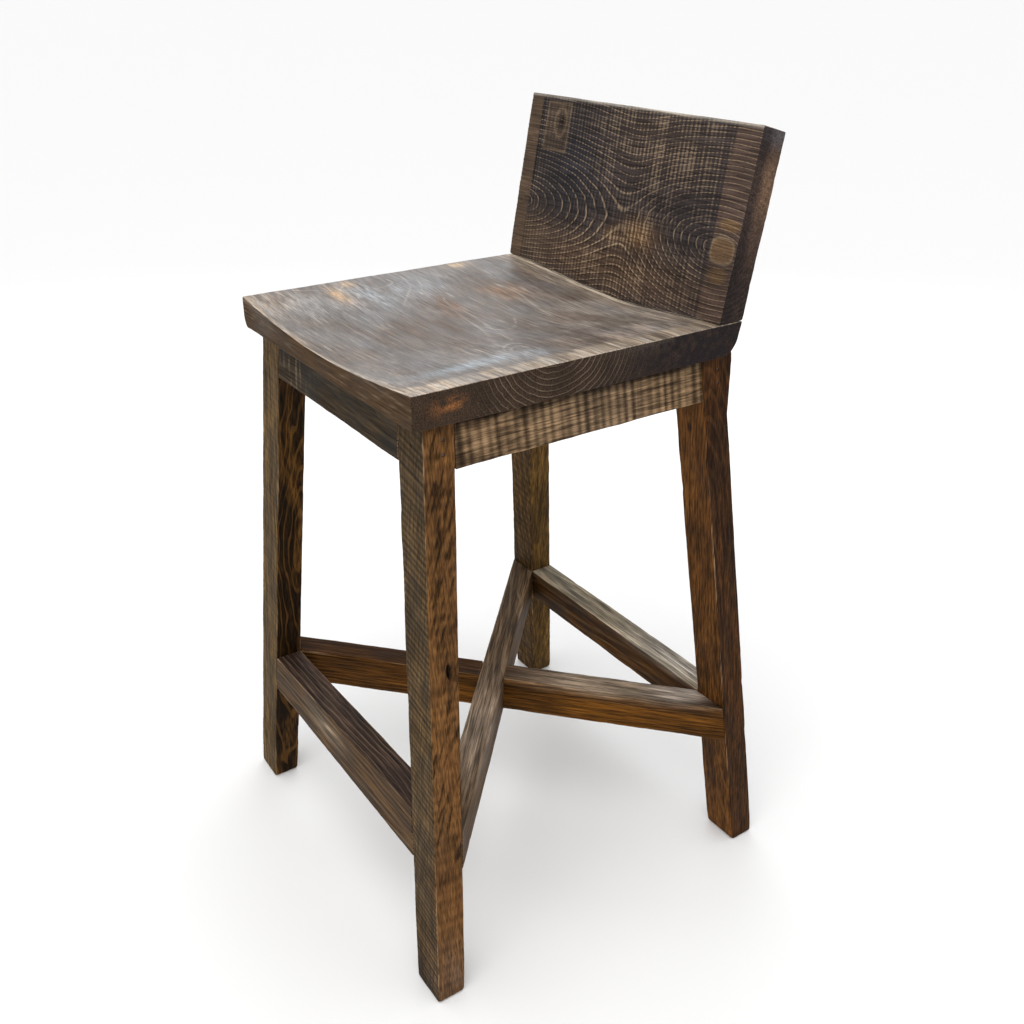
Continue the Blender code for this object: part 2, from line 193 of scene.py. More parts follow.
def grid_lines(length, step, extra=()):
    """Grid positions from 0 to length: close together beside both ends, and at the extra places."""
    inner = np.linspace(ARRIS_LINES[-1], length - ARRIS_LINES[-1], max(2, round(length / step)))
    ends = np.array(ARRIS_LINES[:-1])
    lines = np.concatenate([[0, length], ends, length - ends, inner])
    if len(extra):
        extra = np.array(extra)
        clear = np.min(np.abs(lines[:, None] - extra[None, :]), axis=1) > 0.0006
        lines = np.concatenate([lines[clear | (lines == 0) | (lines == length)], extra])
    return np.unique(np.clip(lines, 0, length))


def box_surface(a, b, c):
    """Points on the six faces of a box with grid lines a, b and c, and the quads that join them."""
    shape = (len(a), len(b), len(c))
    outside = np.zeros(shape, bool)
    outside[[0, -1]] = True
    outside[:, [0, -1]] = True
    outside[:, :, [0, -1]] = True
    index = np.full(shape, -1)
    index[outside] = np.arange(outside.sum())
    where = np.argwhere(outside)
    points = np.stack([a[where[:, 0]], b[where[:, 1]], c[where[:, 2]]], 1)
    quads = []
    for axis in range(3):
        for side in (0, -1):
            sheet = np.take(index, side, axis)
            corners = [sheet[:-1, :-1], sheet[1:, :-1], sheet[1:, 1:], sheet[:-1, 1:]]
            quad = np.stack(corners, -1).reshape(-1, 4)
            outward = (axis == 1) == (side == 0)
            quads.append(quad if outward else quad[:, ::-1])
    return points, np.concatenate(quads)


def round_arrises(points, size, radius):
    """Round the twelve edges of a box, by the radius that radius(points, pair, high_i, high_j) gives.

    pair holds the two axes square to an edge, and high_i and high_j say on which side of each it lies.
    """
    points = points.copy()
    for pair in ((1, 2), (0, 1), (0, 2)):
        i, j = pair
        high_i, high_j = points[:, i] > size[i] / 2, points[:, j] > size[j] / 2
        near_i = np.where(high_i, size[i] - points[:, i], points[:, i])
        near_j = np.where(high_j, size[j] - points[:, j], points[:, j])
        reach = radius(points, pair, high_i, high_j)
        in_i, in_j = reach - near_i, reach - near_j
        inside = (in_i > 0) & (in_j > 0)
        shrink = np.where(inside, np.maximum(in_i, in_j) / np.maximum(np.hypot(in_i, in_j), 1e-9), 1)
        near_i, near_j = reach - in_i * shrink, reach - in_j * shrink
        points[:, i] = np.where(high_i, size[i] - near_i, near_i)
        points[:, j] = np.where(high_j, size[j] - near_j, near_j)
    return points


def surface_normals(points, quads):
    """Unit normals of a closed quad surface at its points."""
    p = points[quads]
    face = np.cross(p[:, 2] - p[:, 0], p[:, 3] - p[:, 1])
    normal = np.stack([
        np.bincount(quads.ravel(), np.repeat(face[:, k], 4), minlength=len(points)) for k in range(3)], 1)
    return normal / np.maximum(np.linalg.norm(normal, axis=1, keepdims=True), 1e-12)


def side_weights(normals):
    """How much each point belongs to each named side, from its normal."""
    weights = {name: np.clip(normals @ np.array(way, float), 0, None) ** 6 for name, way in SIDES.items()}
    total = sum(weights.values())
    return {name: weight / total for name, weight in weights.items()}


# ---- how one piece of wood is described

def stain(red, green, blue):
    """A colour as a person picks it, from 0 to 255, in the linear values that shaders use."""
    shares = np.array([red, green, blue]) / 255
    return np.where(shares <= 0.04045, shares / 12.92, ((shares + 0.055) / 1.055) ** 2.4)


@dataclass
class Wood:
    """Everything about one timber's figure, saw marks, wear and colour.

    tint, figure and hatch go by side: a side's name, or "all" for the rest.  saw goes by a side's name.
    Lengths are metres in the board's own frame: along the grain from its first end, and across and up from
    the middle of that end.
    """

    seed: int
    tint: dict
    pith: tuple = (0.03, -0.11)         # heart of the tree, across and up
    pith_tilt: tuple = (0.02, 0.03)     # its drift for each metre of length
    heart: object = None                # a function of the place along the board, instead of these two
    ring: float = 0.0050                # spacing of the growth rings
    wander: float = 0.9                 # waviness of the rings
    figure: dict = field(default_factory=lambda: {"all": 0.5})      # strength of the pale latewood lines
    late: tuple = (150, 122, 94)        # colour of the latewood lines
    line: float = 0.22                  # share of a ring that is latewood
    saw: dict = field(default_factory=dict)         # spacing, slant and strength of the saw's marks
    broken: float = 0.3                 # how far the saw's marks come and go
    hatch: dict = field(default_factory=dict)       # strength of pale lines on the saw's ridges
    sawn: float = 0.42                  # how far saw marks darken and lighten
    fibre: float = 0.60                 # contrast of the fine fibres
    streak: float = 0.42                # contrast of broad streaks along the grain
    blotch: float = 0.25                # contrast of the broad stain clouds
    wear: float = 0.35                  # how far arrises are rubbed pale
    worn: tuple = (150, 125, 98)        # colour of the rubbed arrises
    relief: float = 0.00012             # height of the raised grain
    rough: float = 0.62
    shine: float = 0.06                 # specular level: low on raw, sawn wood
    waxed: tuple = ()                   # (rough, shine) of waxed upward faces
    patches: tuple = ()                 # (place, reach, colour, strength) of stains, painted shadows and painted reflections, in the stool's axes
    knots: tuple = ()                   # (place, reach, rings) in the board's frame
    holes: tuple = ()                   # nails and screws whose set heads show
    details: object = None              # a function that adds something of its own

    def heart_place(self, along):
        """The heart's place across and up, which drifts evenly in a tree that grew straight."""
        if self.heart:
            return self.heart(along)
        return self.pith[0] + self.pith_tilt[0] * along, self.pith[1] + self.pith_tilt[1] * along


def by_side(table, weights):
    """Blend a table of numbers or colours that goes by side."""
    rest = table.get("all", 0.0)
    return sum(np.multiply.outer(weights[side], np.asarray(table.get(side, rest), float)) for side in SIDES)


def ring_field(wood, local):
    """Growth-ring number at each point, bent by waviness and by knots."""
    along, across, up = local.T
    heart_across, heart_up = wood.heart_place(along)
    stretched = local * (0.35, 1, 1)
    bend = 0.006 * wood.wander
    across = across + bend * noise(stretched, (0.050, 0.06, 0.06), wood.seed + 3)
    up = up + bend * noise(stretched, (0.050, 0.06, 0.06), wood.seed + 5)
    rings = np.hypot(across - heart_across, up - heart_up) / wood.ring
    rings = rings + 0.25 * wood.wander * noise(local, (0.030, 0.008, 0.008), wood.seed + 9)
    for centre, spread, lift in wood.knots:
        rings = rings + lift * blob(local, centre, spread)
    return rings


def saw_marks(wood, local, weights, axes):
    """Ridges left by the saw, from -1 to 1 times their strength on each side."""
    marks = np.zeros(len(local))
    for side, (spacing, slant, force) in wood.saw.items():
        facing = np.abs(axes @ np.array(SIDES[side], float))
        other = local[:, 1] if facing[2] > facing[1] else local[:, 2]
        travel = np.zeros_like(local)
        travel[:, 0] = local[:, 0] + slant * other
        travel[:, 1] = 0.02 * other
        jitter = 0.25 * spacing * noise(travel, (spacing * 3, 1, 1), wood.seed + 29)
        stroke = np.cos(2 * math.pi * (travel[:, 0] + jitter) / spacing)
        coarse = noise(travel, (spacing * 0.55, 1, 1), wood.seed + 31)
        middle = noise(travel, (spacing * 0.25, 1, 1), wood.seed + 37)
        broken = fractal(local, (0.030, 0.016, 0.016), wood.seed + 41)
        mark = (0.65 * stroke + 0.45 * coarse + 0.35 * middle) * (1 + wood.broken * broken)
        marks += weights[side] * force * np.clip(mark + wood.broken * broken, -1, 1)
    return marks


def head_place(node):
    """Middle of the head of a nail or screw, its radius, and the axis that it is driven along."""
    points = node_points(node)
    low, high = points.min(0), points.max(0)
    run = int(np.argmax(high - low))
    if run == 2:
        near = points[:, 2] < low[2] + HEAD_REACH
    else:
        outer = low[run] if abs(low[run]) > abs(high[run]) else high[run]
        near = np.abs(points[:, run] - outer) < HEAD_REACH
    head = points[near]
    return head.mean(0), float(np.ptp(head[:, (run + 1) % 3])) / 2, run


def hole_lines(wood, place, axes, size):
    """Extra grid lines through every hole, for each of the board's three directions."""
    start = spot(place, 0)
    reach = (spot(place, 1) - start) @ axes[0]
    lines = [[], [], []]
    for node in wood.holes:
        centre, radius, run = head_place(node)
        share = (centre - start) @ axes[0] / reach
        offset = axes @ (centre - spot(place, share))
        for axis in range(3):
            if abs(axes[axis][run]) > 0.7:
                continue
            base = share * size[0] if axis == 0 else offset[axis] + size[axis] / 2
            lines[axis] += [base + sign * part * radius for part in HOLE_LINES for sign in (-1, 1)]
    return lines


def surface_fields(wood, points, local, normals, closeness, axes):
    """Depth and colour fields of one timber's surface."""
    weights = side_weights(normals)
    rings = ring_field(wood, local)
    marks = saw_marks(wood, local, weights, axes)
    figure = by_side(wood.figure, weights)
    force = by_side({side: values[2] for side, values in wood.saw.items()}, weights)
    swell = 0.5 - 0.5 * np.cos(2 * math.pi * (rings - 0.4 * wood.line))
    depth = wood.relief * (swell ** 2 * np.clip(figure, 0, 1) - 1)
    depth += SAW_DEPTH * (marks - force)
    depth += UNEVEN * (fractal(local, (0.05, 0.012, 0.012), wood.seed + 61) - 1)
    chip = ramp(noise(local, (0.020, 0.008, 0.008), wood.seed + 71) + 0.5 * closeness, 0.75, 1.2)
    depth -= CHIP_DEPTH * chip * closeness

    clouds = fractal(local, (0.16, 0.05, 0.05), wood.seed + 81)
    tints = {side: stain(*colour) for side, colour in wood.tint.items()}
    tint = by_side(tints, weights) * (1 + wood.blotch * clouds)[:, None]
    mottle = 1 + 0.6 * noise(local, (0.03, 0.006, 0.006), wood.seed + 91)
    for centre, spread, colour, strength in wood.patches:
        spot = np.clip(blob(points, centre, spread) * mottle * strength, 0, 1)[:, None]
        tint = tint * (1 - spot) + stain(*colour) * spot
    rubbed = closeness ** 2 * (1 + 0.9 * noise(local, (0.05, 0.02, 0.02), wood.seed + 95))
    fields = SimpleNamespace(
        points=points, local=local, weights=weights, depth=depth, tint=tint,
        wear=wood.wear * np.clip(rubbed, 0, 1), figure=figure, rings=rings, saw=marks,
        hatch=by_side(wood.hatch, weights))
    if wood.details:
        wood.details(fields)
    sink_holes(wood, fields)
    return fields


def paint(fields, amount, colour):
    """Blend a stain colour into the tint where amount, from 0 to 1, says."""
    share = np.clip(amount, 0, 1)[:, None]
    fields.tint = fields.tint * (1 - share) + stain(*colour) * share


def lighten(fields, amount):
    """Make the tint lighter, or darker where amount is below 0, by a share of itself."""
    fields.tint = fields.tint * (1 + amount)[:, None]


def weaken(fields, name, amount):
    """Take a share away from the named field."""
    setattr(fields, name, getattr(fields, name) * (1 - amount))


def sink_holes(wood, fields):
    """Sink a dark hole around the set head of each nail and screw."""
    for node in wood.holes:
        centre, radius, run = head_place(node)
        away = fields.points - centre
        away[:, run] *= 0.25
        hole = 1 - ramp(np.linalg.norm(away, axis=1), radius * 0.95, radius * 1.2)
        near = np.abs(fields.points[:, run] - centre[run]) < 0.008
        hole = hole * near
        fields.depth -= (HOLE_DEPTH + 1.2 * max(0.0, radius - 0.002)) * hole
        lighten(fields, -0.85 * hole)
        weaken(fields, "wear", hole)


def shape_timber(
        node, wood, place, axes, steps=(GRID, GRID, GRID), radius=None, origin=None, walls=(), glued=()):
    """Build the fine mesh of one timber and let it stand for its CAD node.

    radius may change the usual arris radius, origin may set the start of the grain's own frame, walls are
    shares of the length where the surface steps up or down, and glued names the sides across the grain
    that are glued to a neighbour: 0 for the low side and 1 for the high one.
    """
    size = edge_sizes(place)
    if origin is None:
        origin = spot(place, 0)
    extra = hole_lines(wood, place, axes, size)
    extra[0] += [wall * size[0] + step for wall in walls for step in (-WALL_STEP, WALL_STEP)]
    box, quads = box_surface(*(grid_lines(size[k], steps[k], extra[k]) for k in range(3)))

    def worn_radius(points, pair, high_i, high_j):
        shifted = points + 3.7 * np.stack([high_i, high_j, high_i], 1)
        uneven = 0.55 * noise(shifted, 0.035, wood.seed + 51) + 0.25 * noise(shifted, 0.009, wood.seed + 53)
        reach = ARRIS * (1 + uneven)
        return radius(reach, points, pair, high_i, high_j) if radius else reach

    rounded = round_arrises(box, size, worn_radius)
    points = place(*(rounded / size).T)
    normals = surface_normals(points, quads)
    local = (points - origin) @ axes.T
    fields = surface_fields(wood, points, local, normals, arris_closeness(rounded, size, glued), axes)
    local = local + (normals @ axes.T) * fields.depth[:, None]

    mesh = bpy.data.meshes.new(node + "_timber")
    mesh.from_pydata(local.tolist(), [], quads.tolist())
    mesh.shade_smooth()
    mesh.set_sharp_from_angle(angle=math.radians(60))
    for name in ("rings", "figure", "saw", "hatch", "wear"):
        set_attribute(mesh, name, getattr(fields, name))
    set_attribute(mesh, "tint", np.clip(fields.tint, 0, 1))
    mesh.materials.append(wood_material(node + "_finish", wood, wood.rough, wood.shine))
    if wood.waxed:
        mesh.materials.append(wood_material(node + "_waxed", wood, *wood.waxed))
        upward = normals[quads].mean(axis=1)[:, 2] > 0.6
        mesh.polygons.foreach_set("material_index", upward.astype(np.int32))
    piece = add_item(node + "_timber", mesh)
    piece.matrix_world = Matrix.Translation(Vector(origin)) @ Matrix(axes.T.tolist()).to_4x4()
    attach(piece, "root")
    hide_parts(node)


def arris_closeness(rounded, size, glued):
    """1 on the arrises, falling to 0 a few millimetres away from them, and 0 along glued sides."""
    gaps = np.minimum(rounded, size - rounded)
    gaps[:, 1] += np.where(rounded[:, 1] > size[1] / 2, 1 in glued, 0 in glued)
    return np.exp(-np.sort(gaps, axis=1)[:, 1] / FADE)


def add_item(name, data):
    """A new object in the scene."""
    item = bpy.data.objects.new(name, data)
    bpy.context.scene.collection.objects.link(item)
    return item


def set_attribute(mesh, name, values):
    """Store one number, or one colour, for every vertex."""
    if values.ndim == 1:
        layer = mesh.attributes.new(name, "FLOAT", "POINT")
        layer.data.foreach_set("value", values.astype(np.float32))
        return
    layer = mesh.attributes.new(name, "FLOAT_COLOR", "POINT")
    opaque = np.concatenate([values, np.ones((len(values), 1))], 1)
    layer.data.foreach_set("color", opaque.astype(np.float32).ravel())


# ---- materials

class Graph:
    """A new material, and a short way to write its shader nodes."""

    def __init__(self, name):
        self.material = bpy.data.materials.new(name)
        self.material.use_nodes = True
        self.tree = self.material.node_tree
        self.shader = self.tree.nodes["Principled BSDF"]

    def node(self, kind, *inputs, **settings):
        """Add a node, set its properties, and feed its inputs in order."""
        node = self.tree.nodes.new(kind)
        for key, value in settings.items():
            setattr(node, key, value)
        for socket, value in zip(node.inputs, inputs):
            self.feed(socket, value)
        return node

    def feed(self, socket, value):
        """Link or set one socket."""
        if isinstance(value, bpy.types.NodeSocket):
            self.tree.links.new(value, socket)
        else:
            socket.default_value = value

    def surface(self, sockets):
        """Link or set sockets of the surface shader by name."""
        for name, value in sockets.items():
            self.feed(self.shader.inputs[name], value)

    def maths(self, operation, *inputs, clamp=False):
        return self.node("ShaderNodeMath", *inputs, operation=operation, use_clamp=clamp).outputs[0]

    def times(self, first, *others):
        """Multiply values, from left to right."""
        for other in others:
            first = self.maths("MULTIPLY", first, other)
        return first

    def attribute(self, name, output="Fac"):
        return self.node("ShaderNodeAttribute", attribute_name=name).outputs[output]

    def spread(self, value, low, high, out_low=0.0, out_high=1.0):
        """Map a value smoothly from low..high to out_low..out_high."""
        settings = {"interpolation_type": "SMOOTHSTEP"}
        return self.node("ShaderNodeMapRange", value, low, high, out_low, out_high, **settings).outputs[0]

    def blend(self, amount, first, second):
        """Mix two colours."""
        node = self.node("ShaderNodeMix", data_type="RGBA")
        self.feed(node.inputs[0], amount)
        for socket, value in ((node.inputs[6], first), (node.inputs[7], second)):
            self.feed(socket, value if isinstance(value, bpy.types.NodeSocket) else (*value, 1.0))
        return node.outputs[2]

    def bump(self, height, strength, distance):
        """Let a height field tilt the surface."""
        node = self.node("ShaderNodeBump")
        for name, value in (("Strength", strength), ("Distance", distance), ("Height", height)):
            self.feed(node.inputs[name], value)
        self.surface({"Normal": node.outputs[0]})

    def scale(self, colour, amount):
        """Multiply a colour by a number."""
        node = self.node("ShaderNodeVectorMath", colour, operation="SCALE")
        self.feed(node.inputs["Scale"], amount)
        return node.outputs[0]

    def grain(self, stretch, scale, detail=3.0, shift=(0.0, 0.0, 0.0)):
        """Noise in the board's own frame, drawn out along the grain."""
        place = self.node("ShaderNodeTexCoord").outputs["Object"]
        moved = self.node("ShaderNodeMapping", place, shift)
        moved.inputs["Scale"].default_value = stretch
        texture = self.node("ShaderNodeTexNoise", moved.outputs[0])
        texture.inputs["Scale"].default_value = scale
        texture.inputs["Detail"].default_value = detail
        return texture.outputs[0]


def wood_material(name, wood, rough, shine):
    """Stained, worn wood that reads the fields stored on a timber's vertices."""
    graph = Graph(name)
    shift = (wood.seed * 0.37, wood.seed * 0.11, wood.seed * 0.23)
    fibre = graph.grain((9.0, 260.0, 260.0), 2.2, 4.0, shift)
    streak = graph.grain((3.5, 70.0, 70.0), 2.0, 3.0, shift)
    pore = graph.grain((55.0, 900.0, 900.0), 1.0, 2.0, shift)
    cloud = graph.grain((14.0, 30.0, 30.0), 1.0, 4.0, shift)

    part = graph.maths("FRACT", graph.maths("MULTIPLY_ADD", fibre, 0.16, graph.attribute("rings")))
    rise = graph.spread(part, 1 - 1.7 * wood.line, 1 - wood.line)
    late = graph.times(rise, graph.spread(part, 0.93, 1.0, 1.0, 0.0))
    saw, figure = graph.attribute("saw"), graph.attribute("figure")
    ridge = graph.spread(saw, -0.45, 0.35, 0.15, 1.0)
    lines = graph.times(late, ridge, graph.times(graph.spread(cloud, 0.33, 0.62, 0.35, 1.0), figure))
    dashes = graph.times(graph.spread(fibre, 0.40, 0.62, 0.10, 1.0), graph.attribute("hatch"))
    lines = graph.maths("MAXIMUM", lines, graph.times(graph.spread(saw, 0.10, 0.75), dashes))

    fibres = graph.spread(fibre, 0.30, 0.72, 1 - wood.fibre, 1 + wood.fibre)
    streaks = graph.spread(streak, 0.30, 0.70, 1 - wood.streak, 1 + wood.streak)
    sawn = graph.maths("MULTIPLY_ADD", saw, wood.sawn, 1.0)
    pores = graph.spread(pore, 0.30, 0.42, 0.55, 1.0)
    clouds = graph.spread(cloud, 0.30, 0.70, 1 - wood.blotch, 1 + wood.blotch)
    # Darker earlywood just after each latewood line: partly the wood's own tone, partly a painted shadow
    # below the raised latewood ridge
    earlywood_and_shadow = graph.maths("ADD", graph.times(graph.spread(part, 0.0, 0.35, -0.40, 0.0), figure), 1.0)
    shade = graph.times(fibres, streaks, sawn, pores, clouds, earlywood_and_shadow)
    colour = graph.scale(graph.attribute("tint", "Color"), shade)
    colour = graph.blend(graph.maths("MULTIPLY", lines, 1.0, clamp=True), colour, stain(*wood.late))
    rub = graph.spread(graph.maths("MULTIPLY_ADD", fibre, 0.3, graph.attribute("wear")), 0.27, 0.75)
    colour = graph.blend(rub, colour, graph.scale(stain(*wood.worn), fibres))

    gloss = graph.spread(cloud, 0.3, 0.7, rough - 0.09, rough + 0.10)
    gloss = graph.maths("MULTIPLY_ADD", fibre, 0.10, gloss)
    graph.surface({"Base Color": colour, "Roughness": gloss, "Specular IOR Level": shine})
    height = graph.maths("MULTIPLY_ADD", lines, 0.6, graph.maths("MULTIPLY_ADD", fibre, 0.9, pores))
    graph.bump(height, 0.55, 0.0006)
    return graph.material


def steel_material():
    """Dull steel of the nails and screws, with fine turning marks and spots of tarnish."""
    graph = Graph("fastener_finish")
    spots = graph.grain((1.0, 1.0, 1.0), 900.0)
    turned = graph.grain((1.0, 1.0, 30.0), 700.0)
    tone = graph.spread(spots, 0.35, 0.7, 0.55, 1.0)
    colour = graph.blend(tone, (0.035, 0.026, 0.02), (0.10, 0.088, 0.078))
    rough = graph.spread(turned, 0.3, 0.7, 0.32, 0.55)
    graph.surface({"Base Color": colour, "Metallic": 1.0, "Roughness": rough})
    return graph.material


def block_material():
    """Bare, unstained softwood of the corner blocks under the seat."""
    graph = Graph("block_finish")
    fibre = graph.grain((260.0, 260.0, 14.0), 2.0)
    growth = graph.grain((30.0, 90.0, 4.0), 2.0)
    colour = graph.blend(graph.spread(growth, 0.35, 0.65), stain(196, 160, 116), stain(158, 112, 68))
    colour = graph.scale(colour, graph.spread(fibre, 0.3, 0.7, 0.75, 1.15))
    graph.surface({"Base Color": colour, "Roughness": graph.spread(fibre, 0.3, 0.7, 0.70, 0.88)})
    graph.bump(fibre, 0.5, 0.0005)
    return graph.material


# ---- the seat

SEAT_BOARDS = ("seat_board_front", "seat_board_middle", "seat_board_rear")
(SEAT_LEFT, SEAT_FRONT, SEAT_UNDER), (SEAT_RIGHT, _, SEAT_TOP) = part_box(SEAT_BOARDS[0])
BACKREST_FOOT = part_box("backrest_plank")[0].y + 0.0019      # where the backrest meets the seat's side edges
GLUE_GAP = 0.0003                   # the glued boards close the frame's gap
SEAT_EDGE_LEAN = math.tan(math.radians(13.0))
SCOOP_DEPTH = (0.0157, 0.0100)      # at the front edge and at the backrest
SCOOP_CENTRE = 0.042                # the deepest line drifts this far to the right at the backrest
SCOOP_POWER = (1.0, 1.9)
SEAT_HEART = (-0.060, 0.790)        # y and z of the heart of the tree, above the seat


def scoop(x, y):
    """How far the seat's top is hollowed out below its side edges."""
    back = (y - SEAT_FRONT) / (BACKREST_FOOT - SEAT_FRONT)
    centre = SCOOP_CENTRE * back
    half = SEAT_RIGHT - np.copysign(centre, x - centre)
    trough = np.clip(np.cos(math.pi / 2 * (x - centre) / half), 1e-9, 1)
    depth = SCOOP_DEPTH[0] + (SCOOP_DEPTH[1] - SCOOP_DEPTH[0]) * back
    return depth * trough ** (SCOOP_POWER[0] + (SCOOP_POWER[1] - SCOOP_POWER[0]) * back)


def seat_shape(node):
    """Shape function of one seat board."""
    low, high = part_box(node)
    last = node == SEAT_BOARDS[-1]
    if node != SEAT_BOARDS[0]:
        low.y -= GLUE_GAP

    def place(u, v, w):
        x = low.x + (high.x - low.x) * u
        y = low.y + (high.y - low.y) * v
        z = SEAT_UNDER + (SEAT_TOP - scoop(x, y) - SEAT_UNDER) * w
        if last:
            y = y - v ** 3 * (SEAT_TOP - z) * SEAT_EDGE_LEAN
        return np.stack([x, y, z], 1)

    return place


def seat_radius(glued):
    """Arris radii of one seat board: big below at the back and the left, almost none along the glue."""
    def radius(usual, points, pair, high_i, high_j):
        if 1 not in pair:
            return np.where(high_i | high_j, usual, SEAT_LEFT_ROUND)
        rearward = high_j if pair[1] == 1 else high_i
        reach = np.where(np.where(rearward, 1 in glued, 0 in glued), GLUED_ARRIS * usual, usual)
        if pair == (1, 2) and 1 not in glued:
            reach = np.where(high_i & ~high_j, SEAT_REAR_ROUND, reach)
        return reach

    return radius


def near_path(x, y, path, spread):
    """1 on a smooth curve through a few given points, fading out over spread on both sides of it."""
    path = np.array(path)
    for _ in range(3):
        cut = np.stack([0.75 * path[:-1] + 0.25 * path[1:], 0.25 * path[:-1] + 0.75 * path[1:]], 1)
        path = np.concatenate([path[:1], cut.reshape(-1, 2), path[-1:]])
    nearest = np.full(len(x), np.inf)
    for start, end in zip(path[:-1], path[1:]):
        run = end - start
        share = np.clip(((x - start[0]) * run[0] + (y - start[1]) * run[1]) / (run @ run), 0, 1)
        away = np.hypot(x - start[0] - share * run[0], y - start[1] - share * run[1])
        nearest = np.minimum(nearest, away)
    return np.exp(-(nearest / spread) ** 2)


SCRATCHES = [           # pale curved scratches on the seat's top, each through a few points (x and y)
    ((-0.208, -0.170), (-0.184, -0.124), (-0.160, -0.072), (-0.172, -0.036), (-0.200, -0.046)),
    ((-0.194, -0.018), (-0.150, -0.026), (-0.120, -0.050), (-0.098, -0.066)),
    ((-0.182, -0.004), (-0.148, -0.012), (-0.118, -0.030)),
    ((-0.198, -0.100), (-0.176, -0.118), (-0.150, -0.124)),
    ((-0.192, -0.086), (-0.170, -0.094), (-0.142, -0.108)),
    ((0.150, -0.074), (0.122, -0.066), (0.108, -0.046), (0.126, -0.034), (0.152, -0.038), (0.176, -0.044)),
    ((0.142, -0.066), (0.128, -0.058), (0.124, -0.046), (0.140, -0.042)),
    ((-0.050, -0.016), (0.000, -0.018), (0.060, -0.030), (0.100, -0.036)),
    ((-0.090, -0.014), (-0.040, -0.028), (0.020, -0.034), (0.070, -0.046)),
    ((0.020, 0.020), (0.050, 0.004), (0.060, -0.020), (0.030, -0.030)),
    ((-0.100, 0.076), (-0.060, 0.082), (0.000, 0.066), (0.060, 0.060))]


SEAT_STAINS_AND_SHEEN = [         # clouds of stain and of painted reflection on the seat's top: place (x and y), reach, colour and strength
    # painted reflections: pale blue-grey sheen over the left half of the top (this and the next two)
    ((-0.155, -0.190), (0.035, 0.035), (168, 164, 160), 0.75),
    ((-0.150, -0.020), (0.045, 0.055), (134, 136, 140), 0.7),
    ((-0.130, -0.095), (0.055, 0.040), (160, 164, 168), 0.8),
    ((-0.068, -0.150), (0.050, 0.032), (84, 78, 74), 0.8),
    ((-0.085, 0.015), (0.035, 0.035), (92, 78, 68), 0.7),
    ((-0.112, 0.088), (0.070, 0.050), (88, 76, 67), 0.80),
    # painted reflections: a narrow band of blue-grey sheen near the right edge (this and the next two)
    ((0.157, -0.150), (0.012, 0.040), (150, 160, 168), 0.95),
    ((0.154, -0.096), (0.014, 0.034), (150, 158, 164), 0.95),
    ((0.165, -0.048), (0.022, 0.018), (146, 150, 154), 0.85),
    ((-0.166, -0.124), (0.030, 0.011), (196, 160, 118), 1.0),
    ((-0.196, -0.098), (0.012, 0.010), (200, 166, 124), 0.9),
    ((-0.203, 0.074), (0.012, 0.018), (190, 160, 124), 0.9),
    ((-0.055, -0.030), (0.050, 0.022), (126, 91, 62), 0.75),
    ((-0.072, 0.070), (0.045, 0.030), (122, 90, 62), 0.7),
    ((0.138, 0.003), (0.030, 0.020), (136, 116, 98), 0.6),
    ((0.050, -0.155), (0.070, 0.036), (76, 64, 56), 0.85),
    ((-0.010, -0.082), (0.080, 0.036), (80, 65, 55), 0.85),
    ((0.060, 0.100), (0.085, 0.055), (150, 140, 130), 0.8),
    ((0.025, -0.050), (0.090, 0.075), (84, 66, 52), 0.70),
    ((0.110, -0.165), (0.030, 0.020), (78, 70, 66), 0.7)]
STAIN_DEPTH = 0.03      # how far these clouds reach down into the edges
EDGE_STAINS = [         # pale wood by the rear right corner, and the dark rear half of the right end
    ((0.180, 0.080, SEAT_TOP), (0.030, 0.055, 0.01), (172, 154, 138), 0.8),
    ((SEAT_RIGHT, 0.150, 0.742), (0.02, 0.130, 0.06), (36, 30, 31), 1.0)]


def seat_rim(fields):
    """How far the seat's top is rubbed pale along its right, front and rear edges and its left corner."""
    x, y, _ = fields.points.T
    ragged = 0.006 * noise(fields.points, (0.030, 0.012, 0.012), 801)
    right = ramp(x + ragged, SEAT_RIGHT - 0.034, SEAT_RIGHT - 0.020)
    front = ramp(-y + 0.7 * ragged, -SEAT_FRONT - 0.010, -SEAT_FRONT - 0.003)
    corner = blob(fields.points, (-0.195, -0.215, SEAT_TOP), (0.045, 0.028, 0.05))
    rear = ramp(y + 2 * ragged, BACKREST_FOOT - 0.042, BACKREST_FOOT - 0.014)
    return np.clip(right + 0.7 * front + 0.6 * corner + 0.55 * rear, 0, 1) * fields.weights["top"]


